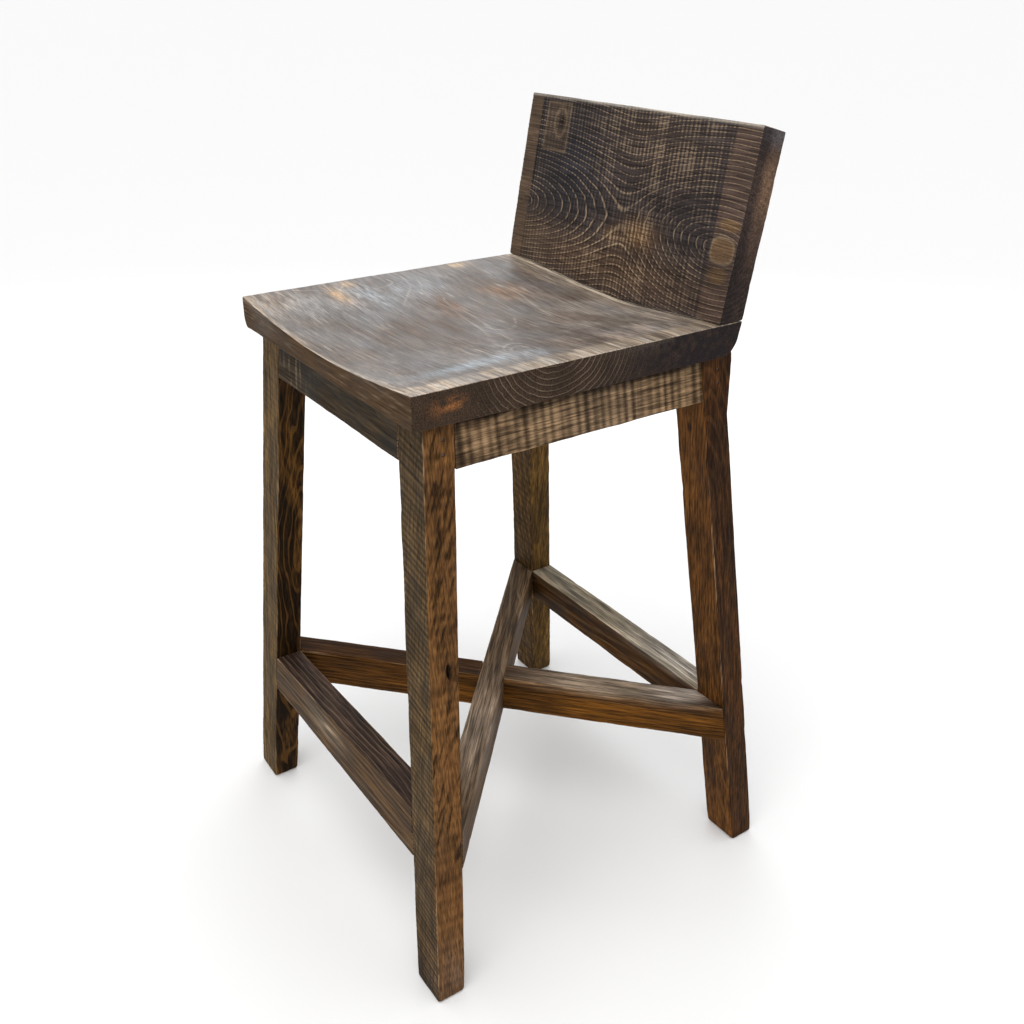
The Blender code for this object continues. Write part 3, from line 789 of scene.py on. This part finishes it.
def stain_seat_top(fields, pale):
    """Clouds, mottle, fine dashes, the pale rim and the scratches on the seat's top."""
    points, top = fields.points, fields.weights["top"]
    x, y, _ = points.T
    streaks = fractal(fields.local, (0.070, 0.0042, 0.02), 811)
    fine = noise(fields.local, (0.030, 0.0034, 0.02), 823)
    clouds = fractal(points, (0.060, 0.034, 0.05), 821)
    paint(fields, 0.42 * ramp(clouds, 0.0, 0.5) * top, (119, 117, 118))
    paint(fields, 0.55 * ramp(-clouds, 0.0, 0.5) * top, (80, 61, 47))
    band = blob(points, (0.112, -0.040, SEAT_TOP), (0.020, 0.150, 0.05))
    band = band * ramp(noise(points, (0.012, 0.060, 0.05), 827), -0.4, 0.6)
    paint(fields, 0.55 * band, (74, 64, 58))
    mottle = fractal(points, (0.024, 0.015, 0.05), 835)
    lighten(fields, top * (0.10 * streaks + 0.14 * fine + 0.27 * mottle))
    paint(fields, 0.80 * pale * (1 + 1.2 * streaks), (166, 147, 126))
    paint(fields, 0.55 * pale * ramp(fine + streaks, 0.0, 0.8), (198, 190, 180))
    joint = ramp(y + 0.19 * scoop(x, y), BACKREST_FOOT - 0.0075, BACKREST_FOOT - 0.0030) * top
    paint(fields, 0.85 * joint * ramp(-x, -0.20, 0.02), (208, 192, 170))
    dashes = fine + 0.8 * streaks
    paint(fields, 0.32 * ramp(dashes, 0.45, 0.95) * top, (172, 164, 154))
    paint(fields, 0.45 * ramp(-dashes, 0.45, 0.95) * top, (74, 60, 50))
    for path in SCRATCHES:
        paint(fields, 0.42 * near_path(x, y, path, 0.0012) * (0.8 + 0.9 * fine) * top, (190, 182, 170))


def seat_details(fields):
    """The seat's stained top, wavy lines on its long edges, and the rings that show at its right end."""
    weights, points = fields.weights, fields.points
    y = points[:, 1]
    pale = seat_rim(fields)
    stain_seat_top(fields, pale)
    fields.figure = fields.figure + 0.4 * pale
    waves = np.abs(noise(fields.local, (0.240, 1, 0.0075), 831))
    edge = weights["front"] + weights["back"]
    paint(fields, 0.32 * (1 - ramp(waves, 0.0, 0.14)) * edge, (134, 116, 96))
    torn = ramp(noise(points, (0.02, 0.009, 0.0032), 837), -0.5, 0.4)
    bare = blob(points, (SEAT_RIGHT, -0.190, 0.743), (0.02, 0.017, 0.008)) * weights["right"]
    paint(fields, 0.85 * torn * bare, (132, 86, 50))
    shown = ramp(-np.abs(y + 0.055), -0.120, -0.060)
    weaken(fields, "figure", weights["right"] * (1 - shown))
    fields.wear = fields.wear * (0.12 + 0.88 * ramp(weights["top"], 0.02, 0.3))
    weaken(fields, "wear", 0.7 * ramp(y, 0.05, 0.16))


def make_seat():
    """Three boards from one tree, carved together, so that rings and stain run on across the joints."""
    axes = axes_of((1, 0, 0), (0, 1, 0))
    origin = np.array([SEAT_LEFT, 0.0, (SEAT_UNDER + SEAT_TOP) / 2])
    clouds = [
        ((*place, SEAT_TOP), (*reach, STAIN_DEPTH), colour, strength)
        for place, reach, colour, strength in SEAT_STAINS_AND_SHEEN]
    screws = [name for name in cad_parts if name.startswith("backrest_screw")]
    for node, glued, holes in zip(SEAT_BOARDS, ((1,), (0, 1), (0,)), ((), (), screws)):
        wood = Wood(
            100, {"top": (106, 95, 87), "front": (70, 52, 34), "right": (60, 47, 37),
                  "left": (62, 48, 36), "back": (40, 33, 29), "bottom": (84, 64, 46)},
            heart=seat_heart, ring=0.0065, wander=0.7,
            figure={"top": 0.20, "right": 0.55, "left": 0.5, "all": 0.08},
            late=(150, 132, 112), line=0.14, blotch=0.16, fibre=0.42, streak=0.10, worn=(176, 162, 148),
            wear=0.70, relief=0.00006, waxed=(0.44, 0.45), patches=clouds + EDGE_STAINS,
            details=seat_details, holes=holes)
        shape_timber(
            node, wood, seat_shape(node), axes, steps=SEAT_GRID, radius=seat_radius(glued), origin=origin,
            glued=glued)


def seat_heart(along):
    """Heart of the tree as the seat's own frame sees it."""
    drift = along - SEAT_RIGHT + SEAT_LEFT
    return SEAT_HEART[0] + 0.05 * drift, SEAT_HEART[1] - (SEAT_UNDER + SEAT_TOP) / 2 + 0.03 * drift


# ---- the backrest

BACKREST_LEAN = math.radians(10.9)
BACKREST_LENGTH = 0.220             # up the slope, at the seat's side edges
BACKREST_THICKNESS = 0.0366
BACKREST_TOP_DROP = BACKREST_THICKNESS * math.tan(math.radians(5.0))
UP_SLOPE = np.array([0.0, math.sin(BACKREST_LEAN), math.cos(BACKREST_LEAN)])
THROUGH = np.array([0.0, math.cos(BACKREST_LEAN), -math.sin(BACKREST_LEAN)])
BACKREST_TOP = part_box("backrest_plank")[1].z
BACKREST_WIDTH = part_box("backrest_plank")[1].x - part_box("backrest_plank")[0].x
STRIP = 0.026                       # planed strip at the left end; the right one is half as wide again


def backrest_foot():
    """Where the plank's front face would meet the seat's level side edges."""
    points = node_points("backrest_plank")
    top_front = points[np.argmax(points[:, 2])]
    return top_front * (0, 1, 1) - UP_SLOPE * BACKREST_LENGTH


def backrest_shape():
    """Shape function of the leaning plank, whose lower edge follows the scoop."""
    low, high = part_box("backrest_plank")
    foot = backrest_foot()

    def place(u, v, w):
        x = low.x + (high.x - low.x) * u
        rise = BACKREST_LENGTH - v * BACKREST_TOP_DROP
        top = foot + rise[:, None] * UP_SLOPE + (v * BACKREST_THICKNESS)[:, None] * THROUGH
        low_z = SEAT_TOP - scoop(x, top[:, 1])
        for _ in range(3):
            low_y = top[:, 1] - (top[:, 2] - low_z) * math.tan(BACKREST_LEAN)
            low_z = SEAT_TOP - scoop(x, low_y) + 0.0003
        bottom = np.stack([0 * x, low_y, low_z], 1)
        points = bottom + (top - bottom) * w[:, None]
        points[:, 0] = x
        return points

    return place


def backrest_heart(along):
    """The heart comes near the front face at both ends of the plank and lies deep in its middle."""
    left, right = 0.332 * np.abs(along - 0.006), 0.459 * np.abs(along - 0.402)
    depth = -0.012 * np.log(np.exp(-left / 0.012) + np.exp(-right / 0.012))
    return -BACKREST_THICKNESS / 2 - 0.002 - np.maximum(depth, 0), -0.032 + 0.012 * along


BACKREST_HATCH = [      # where the saw marks are rubbed pale: place along and up, reach and strength
    ((0.270, 0.070), (0.120, 0.055), 0.42),
    ((0.263, -0.039), (0.032, 0.018), 0.95),
    ((0.214, -0.046), (0.013, 0.011), 0.90),
    ((0.230, -0.085), (0.120, 0.026), 0.30),
    ((0.11, 0.03), (0.07, 0.06), -0.14)]
BACKREST_STAINS = [     # clouds on the front face: place along and up, reach, colour and strength
    ((0.263, -0.039), (0.032, 0.018), (114, 84, 54), 0.80),
    ((0.214, -0.046), (0.013, 0.011), (102, 79, 54), 0.70),
    ((0.210, -0.085), (0.190, 0.032), (90, 70, 55), 0.80),
    ((0.040, -0.070), (0.060, 0.030), (88, 71, 56), 0.60),
    ((0.260, 0.070), (0.130, 0.050), (68, 56, 48), 0.55),
    ((0.120, 0.030), (0.060, 0.060), (42, 42, 48), 0.75)]
CURLS = (               # pale grain above and below the oval knot: place along and up, and half its size
    ((0.414, -0.001), (0.017, 0.007)), ((0.411, -0.058), (0.014, 0.009)))


def ridge(away, spread):
    """1 where away is 0, fading out over spread on both sides."""
    return np.exp(-(away / spread) ** 2)


def front_spot(fields, place, spread):
    """A soft spot on the backrest's front face, from its place along and up."""
    along, _, up = fields.local.T
    return ridge(along - place[0], spread[0]) * ridge(up - place[1], spread[1]) * fields.weights["front"]


def backrest_strips(fields):
    """Planed strips at both ends of the front face, with a groove along the left one."""
    along, _, up = fields.local.T
    front = fields.weights["front"]
    edge = STRIP + 0.0015 * noise(fields.local, 0.05, 901)
    left = (1 - ramp(along, edge, edge + 0.002)) * front
    right = ramp(along, BACKREST_WIDTH - 1.5 * edge - 0.002, BACKREST_WIDTH - 1.5 * edge) * front
    groove = ridge(along - edge - 0.003, 0.0022) * front * ramp(up, -0.03, 0.0)
    planed = np.clip(left + right, 0, 1)
    weaken(fields, "saw", 0.85 * planed)
    paint(fields, 0.75 * left, (92, 74, 58))
    paint(fields, 0.55 * right, (87, 69, 59))
    lighten(fields, -0.5 * groove)
    weaken(fields, "figure", 0.8 * left)
    weaken(fields, "hatch", planed)
    fields.depth = fields.depth + 0.00015 * planed - 0.0004 * groove


def backrest_knots(fields):
    """A smooth oval knot at the right end, and a framed one near the top left corner."""
    along, _, up = fields.local.T
    front = fields.weights["front"]
    oval = (np.abs((along - 0.410) / 0.018) ** 3 + np.abs((up + 0.030) / 0.014) ** 3) ** (1 / 3)
    core = ramp(-oval, -1.05, -0.95) * front
    rim = ridge(oval - 1.0, 0.09) * front
    paint(fields, 0.8 * core, (112, 88, 64))
    paint(fields, 0.6 * rim, (142, 122, 98))
    weaken(fields, "figure", core)
    fields.depth = fields.depth + 0.0002 * rim
    for place, half in CURLS:
        curl = np.hypot((along - place[0]) / half[0], (up - place[1]) / half[1])
        paint(fields, 0.7 * ramp(-curl, -1.2, -0.8) * front, (106, 82, 56))

    square = np.maximum(np.abs(along - 0.066) / 0.025, np.abs(up - 0.070) / 0.030)
    panel = ramp(-square, -1.05, -0.95) * front
    border = ridge(square - 1.0, 0.05) * front
    knot = front_spot(fields, (0.074, 0.078), (0.006, 0.010))
    eye = np.hypot((along - 0.072) / 0.012, (up - 0.076) / 0.018)
    weaken(fields, "figure", 0.6 * panel)
    paint(fields, 0.5 * panel, (84, 68, 54))
    paint(fields, 0.65 * border + 0.45 * ridge(eye - 1.0, 0.16) * panel, (126, 107, 84))
    lighten(fields, -0.8 * knot)
    fields.depth = fields.depth + 0.0002 * border - 0.0006 * knot


def backrest_details(fields):
    """Clouds, planed strips and knots of the front face, the rubbed crest, and the stained right end with a
    painted shadow along its front arris.
    """
    along, through, up = fields.local.T
    front, end = fields.weights["front"], fields.weights["right"]
    hatch = 0.10 * front
    for place, spread, strength in BACKREST_HATCH:
        hatch = hatch + strength * front_spot(fields, place, spread)
    fields.hatch = np.clip(hatch, 0, 1)
    fields.figure = fields.figure * (1 + 0.9 * front_spot(fields, (0.240, -0.075), (0.140, 0.036)))
    for place, spread, colour, strength in BACKREST_STAINS:
        paint(fields, strength * front_spot(fields, place, spread), colour)
    backrest_strips(fields)
    backrest_knots(fields)

    crest = ramp(fields.points[:, 2], BACKREST_TOP - 0.0050, BACKREST_TOP - 0.0012)
    paint(fields, 0.65 * crest * front, (196, 188, 176))
    weaken(fields, "wear", 0.6 * ramp(along, BACKREST_WIDTH - 0.012, BACKREST_WIDTH - 0.002) * (1 - crest))
    paint(fields, 0.8 * ramp(up, 0.075, 0.10) * end, (84, 80, 84))
    paint(fields, 0.8 * ramp(-np.abs(up - 0.045), -0.050, -0.01) * end, (112, 88, 70))
    # painted shadow: the front part of the right end is darkened along the front arris
    paint(fields, 0.85 * ramp(-through, -0.006, 0.010) * end, (40, 34, 34))
    paint(fields, 0.85 * ramp(-up, -0.01, 0.07) * end, (38, 31, 30))


def make_backrest():
    """One leaning, rough-sawn plank."""
    axes = np.array([(1.0, 0.0, 0.0), THROUGH, UP_SLOPE])
    wood = Wood(
        200, {"front": (55, 49, 49), "top": (158, 148, 138), "right": (80, 63, 53),
              "left": (70, 54, 42), "back": (62, 49, 40), "bottom": (60, 46, 34)},
        heart=backrest_heart, ring=0.0060, wander=0.55,
        figure={"front": 0.72, "right": 0.08, "top": 0.3, "back": 0.28, "all": 0.5},
        late=(166, 143, 116), line=0.13, saw={"front": (0.0068, 0.05, 1.0), "back": (0.009, 0.1, 0.9)},
        sawn=0.15, broken=0.8, blotch=0.22, fibre=0.40, streak=0.16, relief=0.00035, rough=0.60,
        worn=(170, 160, 148), wear=0.55, details=backrest_details)
    shape_timber("backrest_plank", wood, backrest_shape(), axes, steps=BACKREST_GRID)


# ---- legs

STAINS_AND_SHADOWS = {                      # clouds of another stain on a timber, and painted shadows under the seat: place, reach, colour and strength
    "leg_front_right": [
        # painted shadow under the seat's edge at the top of the leg's front face
        ((0.19, -0.235, 0.70), (0.035, 0.020, 0.065), (46, 37, 28), 0.90),
        ((0.22, -0.255, 0.23), (0.035, 0.020, 0.075), (86, 70, 50), 0.60),
        ((0.23, -0.265, 0.02), (0.035, 0.025, 0.040), (48, 37, 28), 0.80),
        ((0.26, -0.230, 0.16), (0.020, 0.035, 0.060), (72, 47, 26), 0.55),
        ((0.27, -0.240, 0.03), (0.020, 0.035, 0.050), (92, 71, 54), 0.70)],
    "leg_front_left": [
        # painted shadow under the seat's edge at the top of the leg's front face
        ((-0.20, -0.235, 0.645), (0.030, 0.020, 0.050), (54, 44, 34), 0.85),
        ((-0.22, -0.240, 0.08), (0.010, 0.040, 0.070), (26, 17, 8), 0.70)],
    "leg_rear_right": [
        ((0.185, 0.165, 0.628), (0.004, 0.02, 0.006), (30, 16, 10), 1.2),
        ((0.24, 0.23, 0.11), (0.040, 0.040, 0.070), (60, 38, 18), 0.55)],
    "apron_right": [
        ((SEAT_RIGHT, -0.20, 0.69), (0.03, 0.060, 0.06), (88, 68, 49), 0.8),
        ((SEAT_RIGHT, 0.16, 0.69), (0.03, 0.060, 0.06), (90, 70, 50), 0.8),
        ((SEAT_RIGHT, 0.01, 0.69), (0.03, 0.055, 0.06), (124, 102, 80), 0.8)],
    "footrest": [
        ((-0.04, -0.25, 0.212), (0.050, 0.02, 0.014), (140, 122, 100), 0.8)],
    "stretcher_rear": [
        ((0.12, 0.24, 0.235), (0.090, 0.04, 0.010), (182, 176, 168), 0.8),
        ((-0.18, 0.24, 0.235), (0.100, 0.04, 0.010), (126, 119, 103), 0.8)],
    "diagonal_front_right": [
        ((0.10, -0.10, 0.230), (0.100, 0.10, 0.02), (132, 114, 97), 0.9)],
    "diagonal_front_left": [
        ((0.10, 0.11, 0.232), (0.090, 0.10, 0.010), (144, 126, 106), 1.0),
        ((0.180, 0.190, 0.232), (0.040, 0.04, 0.010), (176, 162, 148), 1.0),
        ((-0.15, -0.17, 0.215), (0.080, 0.08, 0.030), (66, 42, 20), 0.8)]}
TORN_WAY = (0.34, 0.94)             # y and z of the direction that the torn grain follows
KNOT_HOLE = (-0.2098, 0.4433)       # y and z of the long knot hole's middle
KNOT_HOLE_HALF = (0.0026, 0.0078)   # half its width and height


def set_nails(end):
    """The nails whose heads show on one leg."""
    starts = ("apron_nail_" + end, "side_apron_nail_" + end)
    return [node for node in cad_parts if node.startswith(starts)]


def torn_grain(fields):
    """Deep torn grain on the outer face of the front right leg, with one long knot hole."""
    x, y, z = fields.points.T
    right = fields.weights["right"]
    leaning = np.stack([z * TORN_WAY[1] + y * TORN_WAY[0], y * TORN_WAY[1] - z * TORN_WAY[0], x], 1)
    torn = ramp(fractal(leaning, (0.017, 0.0028, 0.05), 611, 2), -0.10, 0.40)
    torn *= ramp(noise(fields.local, (0.10, 0.05, 0.015), 617), -0.8, 0.0) * ramp(z, 0.12, 0.22) * right
    fields.depth -= 0.0005 * torn
    lighten(fields, right * (0.28 - 1.0 * torn))
    away = np.hypot((y - KNOT_HOLE[0]) / KNOT_HOLE_HALF[0], (z - KNOT_HOLE[1]) / KNOT_HOLE_HALF[1])
    hole = 1 - ramp(away, 0.8, 1.4)
    fields.depth -= 0.0035 * hole * right
    lighten(fields, -right * np.clip(0.97 * hole + 0.35 * ridge(away, 3), 0, 0.98))


def gold_clouds(fields):
    """Golden, barely stained clouds on the dark inner face of the front left leg."""
    right = fields.weights["right"]
    cloud = ramp(fractal(fields.local, (0.075, 0.012, 0.012), 641), -0.05, 0.45)
    paint(fields, 0.60 * cloud * right, (92, 62, 26))


def foot_radius(usual, points, pair, high_i, high_j):
    """Arris radii of a leg, which is knocked round at its foot."""
    return usual + 0.0030 * np.exp(-points[:, 0] / 0.012)


def make_legs():
    """Four splayed legs; the rear pair bends forward under the seat's height."""
    axes = axes_of((0, 0, 1), (1, 0, 0))
    woods = {
        "front_right": Wood(
            310, {"front": (72, 57, 37), "right": (92, 62, 33), "all": (80, 55, 32)},
            pith=(0.012, -0.13), pith_tilt=(0.03, 0.02), ring=0.0042,
            figure={"front": 0.15, "right": 0.20, "all": 0.45}, late=(142, 104, 60), fibre=0.42,
            streak=0.18, broken=0.6,
            saw={"front": (0.0078, 0.20, 1.0), "right": (0.014, 0.1, 0.25)}, sawn=0.60,
            hatch={"front": 0.10}, blotch=0.24, rough=0.60, details=torn_grain),
        "front_left": Wood(
            320, {"front": (84, 65, 38), "right": (34, 22, 9), "all": (80, 60, 40)},
            pith=(0.075, 0.004), pith_tilt=(-0.035, 0.10), ring=0.0075, wander=1.6,
            figure={"front": 0.15, "right": 0.55, "all": 0.4}, late=(118, 80, 38), line=0.20,
            saw={"front": (0.010, 0.2, 0.4), "left": (0.010, 0.1, 0.8)}, rough=0.58,
            details=gold_clouds),
        "rear_right": Wood(
            330, {"front": (91, 58, 26), "right": (58, 35, 16), "all": (70, 48, 32)},
            pith=(0.02, -0.12), pith_tilt=(0.05, 0.04), ring=0.0050, figure={"front": 0.40, "all": 0.2},
            late=(132, 88, 48), saw={"left": (0.011, 0.2, 0.6), "back": (0.009, 0.3, 0.7)},
            blotch=0.30, rough=0.56,
            knots=[((0.625, -0.004, -0.019), (0.012, 0.006, 0.02), 1.6)]),
        "rear_left": Wood(
            340, {"front": (70, 50, 25), "right": (85, 62, 30), "all": (70, 54, 38)},
            pith=(-0.03, 0.14), ring=0.0046, figure={"all": 0.35}, late=(120, 98, 66),
            saw={"left": (0.010, 0.15, 0.8), "front": (0.012, 0.2, 0.5), "back": (0.009, 0.3, 0.6)},
            rough=0.64)}
    for end, wood in woods.items():
        node = "leg_" + end
        wood.patches = STAINS_AND_SHADOWS.get(node, ())
        wood.holes = set_nails(end)
        steps = TORN_GRID if end == "front_right" else (GRID, GRID, GRID)
        shape_timber(node, wood, ruled_shape(long_edges(node, axes)), axes, steps=steps, radius=foot_radius)


# ---- aprons, footrest and stretchers

def bar_axes(node):
    """Axes of a level timber: along its run, across it level, and up."""
    points = node_points(node)
    flat = points[:, :2] - points[:, :2].mean(0)
    run = np.linalg.svd(flat, full_matrices=False)[2][0]
    run = run if run[int(np.argmax(np.abs(run)))] > 0 else -run
    return axes_of((run[0], run[1], 0), (-run[1], run[0], 0))


def notched(place, axes, low):
    """Cut the half-lap into a diagonal: where the bars cross it is squeezed into its lower or upper half.

    The other bar is this one's mirror image, left for right, and the walls of the notch run along it.
    Returns the new shape and the places of the two walls, as shares of the length.
    """
    normal = np.array([axes[0][1], axes[0][0], 0])          # level, and square to the other bar
    first, last = (np.array([spot(place, u, v) for v in (0, 1)]) for u in (0, 1))
    half_width = abs((first[1] - first[0]) @ axes[1]) / 2
    start, end = first.mean(axis=0), last.mean(axis=0)
    crossing = start - (end - start) * start[0] / (end[0] - start[0])
    first, last = (first - crossing) @ normal, (last - crossing) @ normal

    def cut(u, v, w):
        begin, finish = first[0] + (first[1] - first[0]) * v, last[0] + (last[1] - last[0]) * v
        distance = first.mean() + (last.mean() - first.mean()) * u
        along_wall = (distance - begin) / (finish - begin)
        slide = (along_wall - u) * np.exp(-((u - 0.5) / 0.13) ** 4)
        half = (w / 2 - 0.002) if low else (1 + w) / 2 + 0.002
        return place(u + slide, v, np.where(np.abs(distance) < half_width, np.clip(half, 0, 1), w))

    walls = [(sign * half_width - first.mean()) / (last.mean() - first.mean()) for sign in (-1, 1)]
    return cut, walls


def chalky_scratches(fields):
    """Pale upright scratches near the left end of the front apron."""
    area = blob(fields.local, (0.045, 0, 0.0), (0.040, 0.05, 0.030)) * fields.weights["front"]
    marks = ramp(noise(fields.local, (0.0040, 1, 0.030), 701), 0.25, 0.6) * area
    paint(fields, 0.8 * marks, (112, 100, 84))


def rough_bands(fields):
    """Fine level tearing on the rough-sawn side aprons, and a painted shadow under the seat's edge."""
    torn = noise(fields.local, (0.012, 0.004, 0.0024), 721)
    lighten(fields, 0.28 * torn)
    fields.depth -= 0.00018 * (1 - torn)
    outer = fields.weights["right"] + fields.weights["left"]
    # painted shadow: a dark band along the top of the outer face, under the seat's overhang
    seat_edge_shadow = ramp(fields.points[:, 2] + 0.0016 * torn, SEAT_UNDER - 0.0150, SEAT_UNDER - 0.0045)
    paint(fields, 0.85 * seat_edge_shadow * outer, (26, 19, 14))
    weaken(fields, "hatch", seat_edge_shadow)


def make_rails():
    """Aprons, footrest, rear stretcher and the two crossed diagonals."""
    band = {"right": (0.0115, 0.06, 1.0), "left": (0.0115, 0.06, 1.0)}
    woods = {
        "apron_front": Wood(
            410, {"front": (51, 40, 26), "all": (70, 54, 38)}, pith=(-0.10, 0.02), ring=0.0055,
            figure={"front": 0.25, "all": 0.3}, late=(112, 94, 72), saw={"back": (0.011, 0.1, 0.8)},
            rough=0.55, details=chalky_scratches),
        "apron_rear": Wood(
            420, {"back": (72, 60, 48), "all": (70, 54, 38)}, pith=(0.11, 0.01), ring=0.0050,
            figure={"back": 0.35, "all": 0.3}, late=(118, 98, 74),
            saw={"back": (0.012, 0.2, 0.7), "front": (0.011, 0.1, 0.8)}, rough=0.60),
        "apron_right": Wood(
            430, {"right": (112, 90, 67), "all": (74, 56, 40)}, pith=(0.10, 0.03), ring=0.0040,
            figure={"right": 0.35, "all": 0.3}, late=(158, 132, 100), saw=band, sawn=0.66, broken=0.6,
            streak=0.20, hatch={"right": 0.35}, blotch=0.22, rough=0.72, details=rough_bands, relief=0.0002),
        "apron_left": Wood(
            440, {"left": (104, 85, 66), "all": (74, 56, 40)}, pith=(-0.10, 0.03), ring=0.0042,
            figure={"left": 0.35, "all": 0.3}, late=(150, 126, 96), saw=band, sawn=0.62, broken=0.6,
            streak=0.20, hatch={"left": 0.3}, blotch=0.22, rough=0.72, details=rough_bands, relief=0.0002),
        "footrest": Wood(
            450, {"top": (55, 41, 35), "front": (69, 49, 28), "all": (74, 56, 40)}, pith=(-0.09, -0.05),
            ring=0.0055, figure={"all": 0.4}, late=(140, 120, 96), rough=0.52, wear=0.5,
            saw={"back": (0.010, 0.1, 0.6)}),
        "stretcher_rear": Wood(
            460, {"top": (150, 136, 114), "front": (70, 43, 12), "all": (72, 56, 40)}, pith=(0.10, 0.05),
            ring=0.0050, figure={"all": 0.3}, late=(132, 112, 84), rough=0.55,
            saw={"back": (0.010, 0.1, 0.7)}),
        "diagonal_front_right": Wood(
            470, {"top": (84, 66, 48), "all": (74, 54, 34)}, pith=(0.03, 0.10), ring=0.0052,
            figure={"top": 0.4, "all": 0.3}, late=(150, 130, 106), rough=0.52, wear=0.5),
        "diagonal_front_left": Wood(
            480, {"top": (56, 31, 8), "all": (84, 51, 12)}, pith=(0.04, 0.11), ring=0.0054,
            figure={"top": 0.12, "all": 0.35}, late=(130, 92, 52), rough=0.50, wear=0.35)}
    for node, wood in woods.items():
        wood.patches = STAINS_AND_SHADOWS.get(node, ())
        axes = bar_axes(node)
        place = ruled_shape(long_edges(node, axes))
        walls = ()
        if node.startswith("diagonal"):
            place, walls = notched(place, axes, low=node == "diagonal_front_left")
        shape_timber(node, wood, place, axes, walls=walls)


# ---- small parts kept from the frame

def finish_small_parts():
    """Give the corner blocks and fasteners, which keep their CAD shapes, their own materials."""
    steel = steel_material()
    blocks = block_material()
    for node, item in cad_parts.items():
        if item.hide_render:
            continue
        item.data.materials.clear()
        item.data.materials.append(blocks if node.startswith("corner_block") else steel)


# ---- camera, floor and light

CAMERA_PLACE = (1.0676, -0.6917, 1.1244)
CAMERA_AZIMUTH, CAMERA_ELEVATION, CAMERA_ROLL = (math.radians(angle) for angle in (55.939, 26.781, -0.091))
CAMERA_LENS = 37.61
WALL_GLOW, ROOM_GLOW = 0.97, 0.40       # light from the pale walls at the horizon, and from higher up


def make_camera():
    """The photograph's view: from the stool's front right, a little above the seat."""
    level = math.cos(CAMERA_ELEVATION)
    back = Vector((
        math.sin(CAMERA_AZIMUTH) * level, -math.cos(CAMERA_AZIMUTH) * level, math.sin(CAMERA_ELEVATION)))
    camera = add_item("camera", bpy.data.cameras.new("camera"))
    camera.data.lens = CAMERA_LENS
    turn = (-back).to_track_quat("-Z", "Y").to_matrix().to_4x4()
    camera.matrix_world = Matrix.Translation(CAMERA_PLACE) @ turn @ Matrix.Rotation(CAMERA_ROLL, 4, "Z")
    bpy.context.scene.camera = camera


def add_softbox(name, place, size, power, colour=(1.0, 1.0, 1.0)):
    """A square area light that points at the seat."""
    light = bpy.data.lights.new(name, "AREA")
    light.size = size
    light.energy = power
    light.color = colour
    box = add_item(name, light)
    box.location = place
    box.rotation_euler = (Vector((0, 0, 0.6)) - Vector(place)).to_track_quat("-Z", "Y").to_euler()


def add_ceiling(strength):
    """Even light from the whole ceiling, which keeps the floor pale however far it runs."""
    light = bpy.data.lights.new("ceiling", "SUN")
    light.energy = strength
    light.angle = math.radians(120)
    add_item("ceiling", light).rotation_euler = (math.radians(12), math.radians(8), 0)


def make_studio():
    """A plain pale floor in a plain pale room with soft light from above."""
    world = bpy.data.worlds.new("studio")
    world.use_nodes = True
    tree = world.node_tree
    background = tree.nodes["Background"]
    background.inputs["Color"].default_value = (1.0, 1.0, 1.0, 1.0)
    height = tree.nodes.new("ShaderNodeSeparateXYZ")
    tree.links.new(tree.nodes.new("ShaderNodeTexCoord").outputs["Generated"], height.inputs[0])
    fade = tree.nodes.new("ShaderNodeMapRange")
    for socket, value in zip(fade.inputs[1:5], (0.03, 0.40, WALL_GLOW, ROOM_GLOW)):
        socket.default_value = value
    tree.links.new(height.outputs["Z"], fade.inputs[0])
    tree.links.new(fade.outputs[0], background.inputs["Strength"])
    bpy.context.scene.world = world
    bpy.context.scene.view_settings.view_transform = "Standard"
    add_softbox("key", (0.9, -1.1, 2.6), 1.6, 14, (1.0, 0.98, 0.95))
    add_softbox("sheen", (-1.8, 1.3, 1.9), 1.8, 14, (0.95, 0.98, 1.0))
    add_ceiling(2.1)

    bpy.ops.mesh.primitive_plane_add(size=400)
    floor = bpy.context.object
    floor.name = "floor"
    graph = Graph("floor_paint")
    graph.surface({"Base Color": (0.90, 0.90, 0.90, 1.0), "Roughness": 0.9})
    floor.data.materials.append(graph.material)


# ---- the stool

make_camera()
make_studio()
make_seat()
make_backrest()
make_legs()
make_rails()
finish_small_parts()

bpy.context.view_layer.update()
